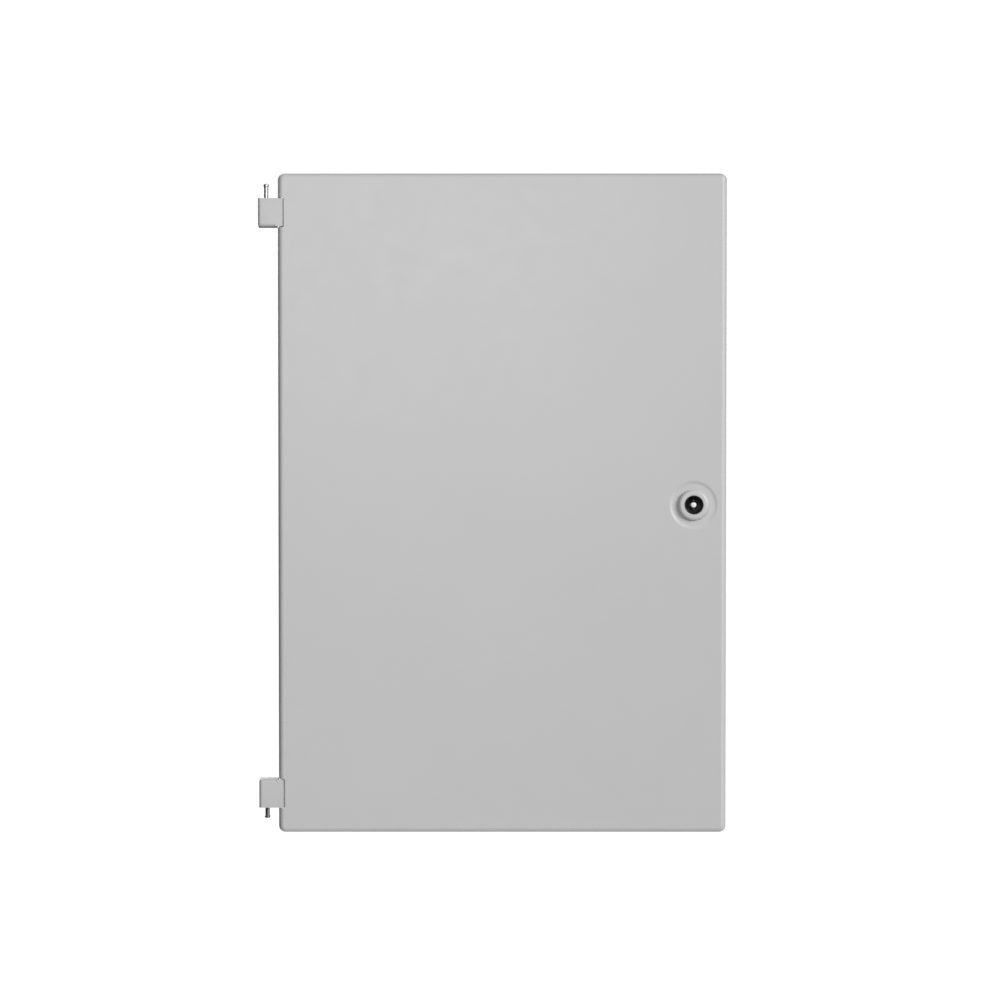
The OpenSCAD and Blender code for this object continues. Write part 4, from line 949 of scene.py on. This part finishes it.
# ------------------------------------------------------------------ ribbon cable with its sockets
ribr = [(YT - 3, 70.5), (YT - 12, 70.5), (YT - 20, 72), (YT - 27, 77), (YT - 34, 87), (YT - 42, 98), (YT - 50, 105.5), (YD + 5.5, 108.2), (YD + 1.4, 108.5)]
cl = catmull([(0, a, b) for a, b in ribr], 7)
N = 26
sec = []
for k in range(N * 4 + 1):
    t = k / (N * 4)
    sec.append((54 + 36 * t, 0.26 + 0.22 * abs(math.sin(math.pi * t * N))))
sec = sec + [(a, -b) for a, b in sec[::-1]]
def station(i):
    q = cl[i]
    t = (cl[min(i + 1, len(cl) - 1)] - cl[max(i - 1, 0)]).normalized()
    return q, Vector((1, 0, 0)), Vector((1, 0, 0)).cross(t)
p = Piece()
p.strip(sec, station, len(cl))
p.done("ribbon", MAT["ribbon_grey"], "cabinet", "ribbon_grey", ("ribbon_cable",), 60)
p = Piece()
p.box(53.9, 90.1, YT - 11.5, YT - 2.4, 67.9, 73.1, 0.5)
p.box(55.5, 88.5, YT - 13.2, YT - 11.2, 68.4, 72.6, 0.4)
p.box(53.9, 90.1, YD + 1.2, YD + 7.6, 106.1, 110.9, 0.5)
p.done("ribbon_sockets", MAT["chip_black"], "cabinet", "chip_black", (), 40)

# ------------------------------------------------------------------ batteries
seat_mat = {"minus": plastic("seat_black", (0.020, 0.020, 0.022), 0.35, 0.5), "plus": plastic("seat_red", (0.40, 0.02, 0.015), 0.35, 0.5)}
for node in ("battery_left", "battery_right"):
    (x0, y0, z0), (x1, y1, z1) = WIN[node]
    p = Piece()
    p.box(x0, x1, y0, y1, z0, z1 - 12.6, 1.6, 4)
    p.box(x0 + 0.9, x1 - 0.9, y0 + 0.9, y1 - 0.9, z1 - 13.4, z1 - 11.2, 0.3, 1)
    p.box(x0 + 1, x1 - 1, y0 + 1, y1 - 1, z1 - 12.2, z1, 2.0, 4)
    for k in range(6):                                 # vent cap strip and ribs
        xx = x0 + 24 + k * (x1 - x0 - 48) / 5
        p.lathe([(0, z1), (5.2, z1), (5.2, z1 - 0.02), (5.2, z1 - 1.0)], (xx, (y0 + y1) / 2 + 12, 0), "Z", 24)
    for xx in (x0 + 5, x1 - 5):
        for zz in range(int(z0) + 12, int(z1) - 18, 8):
            p.box(xx - 2.4, xx + 2.4, y0 - 0.0, y0 + 1.4, zz - 1.2, zz + 1.2, 0.4)
    p.done(node + "_case", MAT["battery_case"], "cabinet", "battery_case", (node,), 32, flat=True)
    for xx, sign in ((x0 + 9, "minus"), (x1 - 9, "plus")):            # terminal seats
        p = Piece()
        p.box(xx - 5.4, xx + 5.4, ty - 3.6, ty + 3.6, z1 - 0.4, z1 + 0.5, 0.35)
        p.done(node + "_seat_" + sign, seat_mat[sign], "cabinet", "battery_case", (), 32)
    p = Piece()
    p.box(x0 + 14, x1 - 14, y0 - 0.18, y0 + 0.4, z1 - 36, z1 - 17, 0.08, 1)
    p.done(node + "_label", label_white, "cabinet", "terminal_white", (), 32)

# ------------------------------------------------------------------ board details
chips = [(-30, 40, 28, 28, 2.8), (12, 46, 20, 12, 2.6), (12, 28, 20, 12, 2.6), (-78, 42, 18, 11, 3.2), (-78, 24, 18, 11, 3.2), (-78, 60, 18, 11, 3.2),
         (-30, 8, 12, 12, 2), (52, 46, 14, 9, 2.4), (78, 46, 14, 9, 2.4), (100, -122, 12, 9, 2.4), (60, -122, 14, 9, 2.4)]
p = Piece()
def leg(px_, pz_, dx, dz, h, w):
    """One gull-wing lead going out along (dx, dz)."""
    a = (px_, pz_)
    n = (abs(dz) * w / 2, abs(dx) * w / 2)
    def bx_(u0, u1, y0, y1):
        xs = sorted((a[0] + dx * u0 - n[0], a[0] + dx * u1 + n[0])) if dx else (a[0] - n[0], a[0] + n[0])
        zs = sorted((a[1] + dz * u0 - n[1], a[1] + dz * u1 + n[1])) if dz else (a[1] - n[1], a[1] + n[1])
        p.box(xs[0], xs[1], y0, y1, zs[0], zs[1], 0)
    bx_(-0.3, 0.8, YT - h * 0.55, YT - h * 0.55 + 0.2)
    bx_(0.65, 0.85, YT - h * 0.55, YT - 0.05)
    bx_(0.7, 1.6, YT - 0.25, YT + 0.01)
for cx_, cz_, w, h, d in chips:
    quad = abs(w - h) < 0.1
    pitch = 1.0 if quad and w > 20 else 1.27
    n = int((w - 2) / pitch)
    for k in range(n + 1):
        u = -n * pitch / 2 + k * pitch
        for s in (1, -1):
            leg(cx_ + u, cz_ + s * h / 2, 0, s, d, 0.42)
            if quad:
                leg(cx_ + s * w / 2, cz_ + u, s, 0, d, 0.42)
p.done("chip_leads", silver, "cabinet", "fuse_metal", (), 30)

smd_body, smd_end, prints = Piece(), Piece(), Piece()
def smd(x, z, along=True, l=2.2, w=1.3, h=0.7):
    a, b = (l / 2, w / 2) if along else (w / 2, l / 2)
    smd_body.box(x - a * 0.66 if along else x - a, x + a * 0.66 if along else x + a, YT - h, YT, z - b if along else z - b * 0.66, z + b if along else z + b * 0.66, 0.06, 1)
    for s in (1, -1):
        if along:
            smd_end.box(x + s * a * 0.80 - a * 0.2, x + s * a * 0.80 + a * 0.2, YT - h - 0.03, YT, z - b - 0.02, z + b + 0.02, 0.05, 1)
        else:
            smd_end.box(x - a - 0.02, x + a + 0.02, YT - h - 0.03, YT, z + s * b * 0.80 - b * 0.2, z + s * b * 0.80 + b * 0.2, 0.05, 1)
blocked = [(c[0] - c[2] / 2 - 3, c[0] + c[2] / 2 + 3, c[1] - c[3] / 2 - 3, c[1] + c[3] / 2 + 3) for c in chips]
caps = [(-118, -18, 8, 24), (-98, -18, 8, 24), (-78, -18, 5, 16), (-64, -18, 5, 16), (-118, 4, 5, 14), (-104, 4, 5, 14), (120, 30, 6.3, 18), (120, 48, 6.3, 18),
        (122, -100, 5, 14), (134, -100, 5, 14)]
relays = [(30, 4), (54, 4), (78, 4), (102, 4), (30, -100), (54, -100), (78, -100)]
blocked += [(c[0] - c[2] - 2, c[0] + c[2] + 2, c[1] - c[2] - 2, c[1] + c[2] + 2) for c in caps]
blocked += [(x - 12, x + 12, z - 10.5, z + 10.5) for x, z in relays]
blocked += [(x - 18, x + 18, -62, -46) for x in (-108, -72, -36, 0, 36, 72, 108)] + [(x - 18, x + 18, -142, -127) for x in (40, 78, 116)]
blocked += [(-56, -2, -26, -14), (50, 94, 64, 77)]
blocked += [(x - 5, x + 5, z - 5, z + 5) for x, z in ((-131, -36), (131, -36), (-131, 84), (131, 84), (-131, 222), (131, 222), (14, -86), (142, -86), (14, -136), (142, -136))]
blocked += [(-153, -143, 94, 104), (143, 153, 94, 104)]
def free(x, z, m=1.6):
    return not any(a - m < x < b + m and c - m < z < d + m for a, b, c, d in blocked)
rs = random.Random(21)
grid = [(x, z) for x in range(-128, 130, 8) for z in range(-38, 92, 8)] + [(x, z) for x in range(18, 142, 8) for z in range(-124, -82, 8)]
for gx_, gz_ in grid:
    if rs.random() < 0.42 or not free(gx_, gz_, 2.4):
        continue
    along = rs.random() < 0.5
    for k in range(rs.choice((1, 2, 3))):
        if along:
            if free(gx_, gz_ + k * 2.1):
                smd(gx_, gz_ + k * 2.1, True)
        elif free(gx_ + k * 2.1, gz_):
            smd(gx_ + k * 2.1, gz_, False)
smd_body.done("chip_components", ceramic, "cabinet", "chip_black", (), 30)
smd_end.done("chip_component_ends", silver, "cabinet", "fuse_metal", (), 30)
# white outlines round the parts
def frame_line(x0, x1, z0, z1, w=0.28, t=0.035):
    for a, b, c, d in ((x0, x1, z0, z0 + w), (x0, x1, z1 - w, z1), (x0, x0 + w, z0 + w, z1 - w), (x1 - w, x1, z0 + w, z1 - w)):
        prints.box(a, b, YT - t, YT + 0.01, c, d, 0)
for c in chips:
    frame_line(c[0] - c[2] / 2 - 2.1, c[0] + c[2] / 2 + 2.1, c[1] - c[3] / 2 - 2.1, c[1] + c[3] / 2 + 2.1)
    prints.rod(0.5, YT - 0.035, YT + 0.01, (c[0] - c[2] / 2 - 2.9, 0, c[1] + c[3] / 2 + 1.2), "Y", 0.01, 12)
for x, z in relays:
    frame_line(x - 10.6, x + 10.6, z - 9.1, z + 9.1)
for x in (-108, -72, -36, 0, 36, 72, 108):
    frame_line(x - 16.4, x + 16.4, -61.2, -47.6)
for x in (40, 78, 116):
    frame_line(x - 16.4, x + 16.4, -141.2, -127.6)
prints.done("board_print", white_print, "cabinet", "terminal_white", (), 30)

# electrolytic capacitors: sleeve with a rolled shoulder, bare top
sl, tp = Piece(), Piece()
for x, z, r, h in caps:
    t = YT - h
    sl.lathe([(r - 1.1, t + 0.02), (r - 0.5, t), (r - 0.12, t + 0.25), (r, t + 0.8), (r, YT - 2.6), (r - 0.35, YT - 2.1), (r - 0.35, YT - 1.7), (r, YT - 1.2), (r, YT - 0.3), (r - 0.3, YT)], (x, 0, z), "Y", 36)
    tp.lathe([(0, t + 0.30), (r - 1.7, t + 0.30), (r - 1.2, t + 0.12), (r - 1.0, t + 0.35), (r - 1.0, t + 1.5), (0, t + 1.5)], (x, 0, z), "Y", 36)
    for a in range(3):
        tp.box(x - (r - 2.0), x + (r - 2.0), t + 0.24, t + 0.5, z - 0.12, z + 0.12, 0, rot=Matrix.Rotation(math.radians(60 * a + 15), 4, "Y"))
sl.done("capacitor_sleeves", MAT["capacitor_sleeve"], "cabinet", "capacitor_sleeve", ("capacitors",), 40)
tp.done("capacitor_tops", silver, "cabinet", "capacitor_sleeve", (), 40)

# terminal screws in their wells
sc_ = Piece()
def ways(x, z, n, flip):
    w = 5 * n + 1
    for k in range(n):
        slotted(sc_, x - w / 2 + 5 * k + 3, YT - 10.2 + 0.6, z + 5.3 * flip, 1.75, 0.8, 0.55, "Y", rs.uniform(-1.4, 1.4), 12)
for x in (-108, -72, -36, 0, 36, 72, 108):
    ways(x, bz0 + 2, 6, 1)
for x in (40, 78, 116):
    ways(x, -140, 6, 1)
for k in range(4):
    for z in (-174, -158):
        slotted(sc_, 15.5 + 13 * k, YC - 22.5, z, 3.1, 1.2, 0.9, "Y", rs.uniform(-1.4, 1.4), 14)
for k in range(7):
    slotted(sc_, -33.2, YC - 14.5, pz(k), 2.6, 1.1, 0.8, "Y", rs.uniform(-1.4, 1.4), 14)
sc_.done("terminal_screws", MAT["zinc_fastener"], "cabinet", "zinc_fastener", (), 35)

# recesses in the screw heads, holes in the power supply's cover
cut = Piece()
for x, z in ((-131, -36), (131, -36), (-131, 84), (131, 84), (-131, 222), (131, 222), (14, -86), (142, -86), (14, -136), (142, -136)):
    cross(cut, x, z, YT - 2, 0.75, 3.0, 0.8, rs.uniform(0, 90))
carve("board_fixings", cut, "board_screws")
cut = Piece()
for x, z in ((-148, 99), (148, 99), (-148, 231), (148, 231)):
    cross(cut, x, z, YH - 1.7, 0.8, 3.4, 0.9, rs.uniform(0, 90))
carve("display_pillars" if "display_pillars" in NODES else "chassis_fixings", cut, "fixings_with_recesses")
cut = Piece()
for s in (1, -1):
    for y in (12, 32):
        (sx0, sy0, sz0), (sx1, sy1, sz1) = WIN["hinge_bracket_screws"]
        yy, zz = -127.5 + y, s * (lug_zc - lug_h / 2 + 5.75)
        cut.lathe([(0, sx0 + 1.5), (1.75, sx0 + 1.5), (1.75, sx0 - 1), (0, sx0 - 1)], (0, yy, zz), "X", 6)
carve("hinge_bracket_screws", cut, "bracket_screws")
cut = Piece()
for k in range(5):
    cut.box(88 + 9.5 * k - 3.4, 88 + 9.5 * k + 3.4, YC - 19.4, YC - 17.4, -167.45, -166.55, 0, rot=Matrix.Rotation(rs.uniform(-1.4, 1.4), 4, "Y"))
carve("earth_bar", cut, "earth_bar_slotted")
cut = Piece()
for i in range(9):
    for j in range(8):
        cut.lathe([(0, YC - 41), (2.1, YC - 41), (2.1, YC - 37), (0, YC - 37)], (-134 + 10.4 * i + (5.2 if j % 2 else 0) - 1.2, 0, -170 + 9.0 * j), "Y", 14)
carve("power_supply_case", cut, "power_supply_cover")
p = Piece()
p.box(-130, -66, YC - 40.15, YC - 39.8, -98, -86, 0.06, 1)
p.done("power_supply_label", label_white, "cabinet", "terminal_white", (), 30)

# ------------------------------------------------------------------ display housing, with every opening's edge broken
def make_housing():
    bm = bmesh.new()
    (hx0, y0, hz0), (hx1, y1, hz1) = WIN["display_housing"]
    cx_, cz_ = (hx0 + hx1) / 2, (hz0 + hz1) / 2
    hw, hh = (hx1 - hx0) / 2, (hz1 - hz0) / 2
    yi_ = y0 + 2.2
    def loop(pts, y):
        return [bm.verts.new((x, y, z)) for x, z in pts]
    def ringo(inset, y, r):
        return loop(rr(hw - inset, hh - inset, max(0.5, r), 8, cx_, cz_), y)
    outer = [(0.25, y1, 5.75), (0.0, y1 - 0.3, 6.0), (0.0, y0 + 1.6, 6.0)]
    for k in range(1, 7):
        a = math.radians(15 * k)
        outer.append((1.6 - 1.6 * math.cos(a), y0 + 1.6 - 1.6 * math.sin(a), 6.0 - (1.6 - 1.6 * math.cos(a))))
    outer = [ringo(*q) for q in outer]
    inner = [ringo(*q) for q in ((1.95, y1, 4.2), (2.2, y1 - 0.3, 4.0), (2.2, yi_, 4.0))]
    for seq in (outer, inner):
        for a, b in zip(seq, seq[1:]):
            bridge(bm, a, b)
    bridge(bm, outer[0], inner[0])
    front, back = list(ring_edges(bm, outer[-1])), list(ring_edges(bm, inner[-1]))
    def opening(shape, floor_at=None, ch=0.3):
        """shape(offset) gives the loop grown by offset."""
        prof = [(ch, y0), (ch * 0.3, y0 + ch * 0.3), (0.0, y0 + ch)]
        loops = [loop(shape(o), y) for o, y in prof]
        if floor_at is None:
            loops.append(loop(shape(0.0), yi_))
        else:
            loops.append(loop(shape(0.0), floor_at))
        for a, b in zip(loops, loops[1:]):
            bridge(bm, a, b)
        front.extend(ring_edges(bm, loops[0]))
        if floor_at is None:
            back.extend(ring_edges(bm, loops[-1]))
        else:
            bm.faces.new(loops[-1])
    def circ(x, z, r, n):
        return lambda o: [(x + (r + o) * math.cos(2 * math.pi * k / n), z + (r + o) * math.sin(2 * math.pi * k / n)) for k in range(n)]
    def rect(x0, x1, z0, z1, r, seg=5):
        return lambda o: rr((x1 - x0) / 2 + o, (z1 - z0) / 2 + o, r + o, seg, (x0 + x1) / 2, (z0 + z1) / 2)
    opening(rect(-140, -20, 180, 225, 1.0))
    opening(rect(-140, 140, 152, 166, 0.8, 3), y0 + 0.7, 0.2)
    for x in [12 + 18 * k for k in range(8)]:
        for z in (216, 200):
            opening(circ(x, z, 2.65, 28), None, 0.2)
    for x in (-122, -84, -46, -8):
        opening(rect(x - 13.4, x + 13.4, 122 - 8.4, 122 + 8.4, 3.3))
    opening(circ(44, 122, 8.1, 48), None, 0.2)
    for k in range(6):
        opening(rect(96, 138, 108 + 5 * k, 110.4 + 5 * k, 1.15, 6), None, 0.25)
    bmesh.ops.triangle_fill(bm, use_beauty=True, edges=front)
    bmesh.ops.triangle_fill(bm, use_beauty=True, edges=back)
    for x, z in ((-148, 99), (148, 99), (-148, 231), (148, 231)):       # bosses the pillars' screws pass through
        n = 24
        a = [bm.verts.new((x + 4 * math.cos(2 * math.pi * k / n), yi_ - 0.3, z + 4 * math.sin(2 * math.pi * k / n))) for k in range(n)]
        b = [bm.verts.new((x + 4 * math.cos(2 * math.pi * k / n), YD - 1.75, z + 4 * math.sin(2 * math.pi * k / n))) for k in range(n)]
        bridge(bm, a, b)
        bm.faces.new(a)
        bm.faces.new(b[::-1])
    p = Piece()
    p.bm.free()
    p.bm = bm
    return p.done("display_moulding", MAT["display_plastic"], "cabinet", "display_plastic", ("display_housing",), 32, flat=True)

make_housing()

# ------------------------------------------------------------------ display unit details
p = Piece()
for x in [12 + 18 * k for k in range(8)]:
    for z in (216, 200):
        y0 = YH - 0.35
        p.lathe([(0, YH - 1.6)] + [(2.42 * math.sin(math.radians(a)), y0 - 1.25 * math.cos(math.radians(a))) for a in range(12, 91, 13)]
                + [(2.42, y0 + 1.0), (2.5, y0 + 1.2), (2.5, YD - 1.7), (0, YD - 1.7)], (x, 0, z), "Y", 28)
p.done("lamp_lenses", MAT["led_lens"], "cabinet", "led_lens", ("indicator_leds",), 40)
p = Piece()                                            # write-in labels, plain
p.box(-139.6, 139.6, YH + 0.35, YH + 0.72, 152.4, 165.6, 0.05, 1)
for x in [12 + 18 * k for k in range(8)]:
    p.box(x - 7.4, x + 7.4, YH - 0.12, YH + 0.05, 187.5, 194.0, 0.04, 1)
p.done("display_labels", label_white, "cabinet", "display_plastic", (), 30)
p = Piece()                                            # printed field outlines
def field(x0, x1, z0, z1, w=0.6):
    for a, b, c, d in ((x0, x1, z0, z0 + w), (x0, x1, z1 - w, z1), (x0, x0 + w, z0 + w, z1 - w), (x1 - w, x1, z0 + w, z1 - w)):
        p.box(a, b, YH - 0.06, YH + 0.05, c, d, 0)
field(2, 148, 184, 225)
field(-142, 12, 104, 140)
field(28, 60, 104, 140)
field(90, 144, 104, 140)
for x in (-122, -84, -46, -8):
    p.box(x - 11, x + 11, YH - 0.06, YH + 0.05, 134.6, 136.2, 0)
p.done("display_print", white_print, "cabinet", "display_plastic", (), 30)
p = Piece()                                            # lip round the display window
(wx0, _, wz0), (wx1, _, wz1) = (-140, 0, 180), (-20, 0, 225)
for a, b, c, d in ((wx0 - 2.4, wx1 + 2.4, wz0 - 2.4, wz0 - 0.1), (wx0 - 2.4, wx1 + 2.4, wz1 + 0.1, wz1 + 2.4), (wx0 - 2.4, wx0 - 0.1, wz0 - 0.1, wz1 + 0.1), (wx1 + 0.1, wx1 + 2.4, wz0 - 0.1, wz1 + 0.1)):
    p.box(a, b, YH - 0.7, YH + 0.3, c, d, 0.3)
p.done("window_lip", MAT["display_plastic"], "cabinet", "display_plastic", (), 30)
p = Piece()                                            # cable ties on the battery leads
def tie(c, t, r):
    t = Vector(t).normalized()
    ref = Vector((0, 0, 1)) if abs(t.z) < 0.9 else Vector((1, 0, 0))
    u = t.cross(ref).normalized()
    w = t.cross(u)
    n, rings = 28, []
    for k in range(n):
        a = 2 * math.pi * k / n
        rad = u * math.cos(a) + w * math.sin(a)
        rings.append([p.bm.verts.new(Vector(c) + rad * rr_ + t * h_) for rr_, h_ in ((r, -1.2), (r + 0.75, -1.2), (r + 0.9, 0), (r + 0.75, 1.2), (r, 1.2))])
    for a, b in zip(rings, rings[1:] + rings[:1]):
        for j in range(5):
            p.bm.faces.new((a[j], a[(j + 1) % 5], b[(j + 1) % 5], b[j]))
    hc = Vector(c) + u * (r + 1.6)
    p.box(hc.x - 1.7, hc.x + 1.7, hc.y - 1.4, hc.y + 1.4, hc.z - 1.7, hc.z + 1.7, 0.4)
for route_ in (red, black):
    c = catmull(route_, 9)
    for i in (40, 58):
        tie(c[i], c[i + 1] - c[i - 1], 1.62)
p.done("cable_ties", tie_nylon, "cabinet", "terminal_white", (), 40)

# ------------------------------------------------------------------ stage, light and camera
world = bpy.data.worlds.new("studio")
bpy.context.scene.world = world
world.use_nodes = True
nt = world.node_tree
nt.nodes.clear()
out = nt.nodes.new("ShaderNodeOutputWorld")
lit = nt.nodes.new("ShaderNodeBackground")
seen = nt.nodes.new("ShaderNodeBackground")
mixn = nt.nodes.new("ShaderNodeMixShader")
path = nt.nodes.new("ShaderNodeLightPath")
seen.inputs["Color"].default_value = (1, 1, 1, 1)
seen.inputs["Strength"].default_value = 1.05
# a soft box of a room: bright above and to the right, dim to the left and below
tc = nt.nodes.new("ShaderNodeTexCoord")
sp = nt.nodes.new("ShaderNodeSeparateXYZ")
nt.links.new(tc.outputs["Generated"], sp.inputs[0])
side = maprange(nt, sp.outputs["X"], -0.9, 0.9, 0.01, 0.16)
upw = maprange(nt, sp.outputs["Z"], -0.9, 0.9, 0.25, 1.30)
nt.links.new(math_(nt, "MULTIPLY", side, upw), lit.inputs["Strength"])
lit.inputs["Color"].default_value = (1, 1, 1, 1)
nt.links.new(path.outputs["Is Camera Ray"], mixn.inputs["Fac"])
nt.links.new(lit.outputs[0], mixn.inputs[1])
nt.links.new(seen.outputs[0], mixn.inputs[2])
nt.links.new(mixn.outputs[0], out.inputs["Surface"])

def floor():
    m, nt, b = new_mat("floor_white")
    v = coords(nt)
    n = noise(nt, v, 3.0, 3.0, 0.5)
    col = ramp(nt, n, [(0.3, (0.88, 0.88, 0.88)), (0.7, (0.92, 0.92, 0.92))])
    finish_mat(nt, b, col, maprange(nt, n, 0.3, 0.7, 0.7, 0.8), bump(nt, noise(nt, v, 400.0, 2.0, 0.5), 0.02, 0.0005))
    b.inputs["Specular IOR Level"].default_value = 0.2
    b.inputs["Emission Color"].default_value = (1, 1, 1, 1)
    b.inputs["Emission Strength"].default_value = 0.12
    ln = nt.nodes.new("ShaderNodeVectorMath")
    ln.operation = "LENGTH"
    nt.links.new(v, ln.inputs[0])
    fade = ramp(nt, maprange(nt, ln.outputs["Value"], 0.30, 1.5, 0.0, 1.0), [(0.0, (0, 0, 0)), (0.55, (0.5, 0.5, 0.5)), (1.0, (1, 1, 1))], "EASE")
    clear = nt.nodes.new("ShaderNodeBsdfTransparent")
    mx = nt.nodes.new("ShaderNodeMixShader")
    nt.links.new(fade, mx.inputs["Fac"])
    nt.links.new(b.outputs[0], mx.inputs[1])
    nt.links.new(clear.outputs[0], mx.inputs[2])
    out = [q for q in nt.nodes if q.type == "OUTPUT_MATERIAL"][0]
    nt.links.new(mx.outputs[0], out.inputs["Surface"])
    bm = bmesh.new()
    bmesh.ops.create_circle(bm, cap_ends=True, radius=1.55, segments=128)
    me = bpy.data.meshes.new("floor")
    bm.to_mesh(me)
    bm.free()
    me.materials.append(m)
    o = bpy.data.objects.new("floor", me)
    o.location = (0, -0.05, -0.92)
    bpy.context.scene.collection.objects.link(o)

floor()

def area(name, loc, target, size, power, size_y=None, spread=180):
    l = bpy.data.lights.new(name, "AREA")
    l.shape = "RECTANGLE" if size_y else "SQUARE"
    l.size = size
    if size_y:
        l.size_y = size_y
    l.energy = power
    l.spread = math.radians(spread)
    o = bpy.data.objects.new(name, l)
    bpy.context.scene.collection.objects.link(o)
    o.location = loc
    o.rotation_mode = "QUATERNION"
    o.rotation_quaternion = (Vector(target) - Vector(loc)).to_track_quat("-Z", "Y")
    return o

def sun(name, direction, angle, strength):
    l = bpy.data.lights.new(name, "SUN")
    l.angle = math.radians(angle)
    l.energy = strength
    o = bpy.data.objects.new(name, l)
    bpy.context.scene.collection.objects.link(o)
    o.rotation_mode = "QUATERNION"
    o.rotation_quaternion = (-Vector(direction)).to_track_quat("-Z", "Y")
    return o

sun("key", (0.66, -0.68, 0.30), 26, 2.50)
area("front", (-0.12, -1.50, 0.44), (-0.03, -0.15, 0.18), 0.7, 6.7)
area("rear_soft", (-1.25, 2.3, 1.2), (0, 0, 0), 1.8, 46)

cam_data = bpy.data.cameras.new("camera")
cam = bpy.data.objects.new("camera", cam_data)
bpy.context.scene.collection.objects.link(cam)
bpy.context.scene.camera = cam
cam_data.lens = 85
cam_data.sensor_width = 36
cam_data.clip_start, cam_data.clip_end = 0.05, 60
PX = 0.6 / 659.9                      # metres a pixel at the door's face
dist = (500 * PX) / (18.0 / 85.0)
el = math.radians(1.4)
target = Vector((-2.25 * PX, yf * MM, 3.85 * PX))
back = Vector((0, -math.cos(el), math.sin(el)))
cam.location = target + back * dist
cam.rotation_mode = "QUATERNION"
cam.rotation_quaternion = (-back).to_track_quat("-Z", "Y")

sc = bpy.context.scene
sc.view_settings.view_transform = "Standard"
sc.view_settings.look = "None"
sc.view_settings.exposure = 0.0
sc.cycles.use_denoising = True
sc.cycles.max_bounces = 8
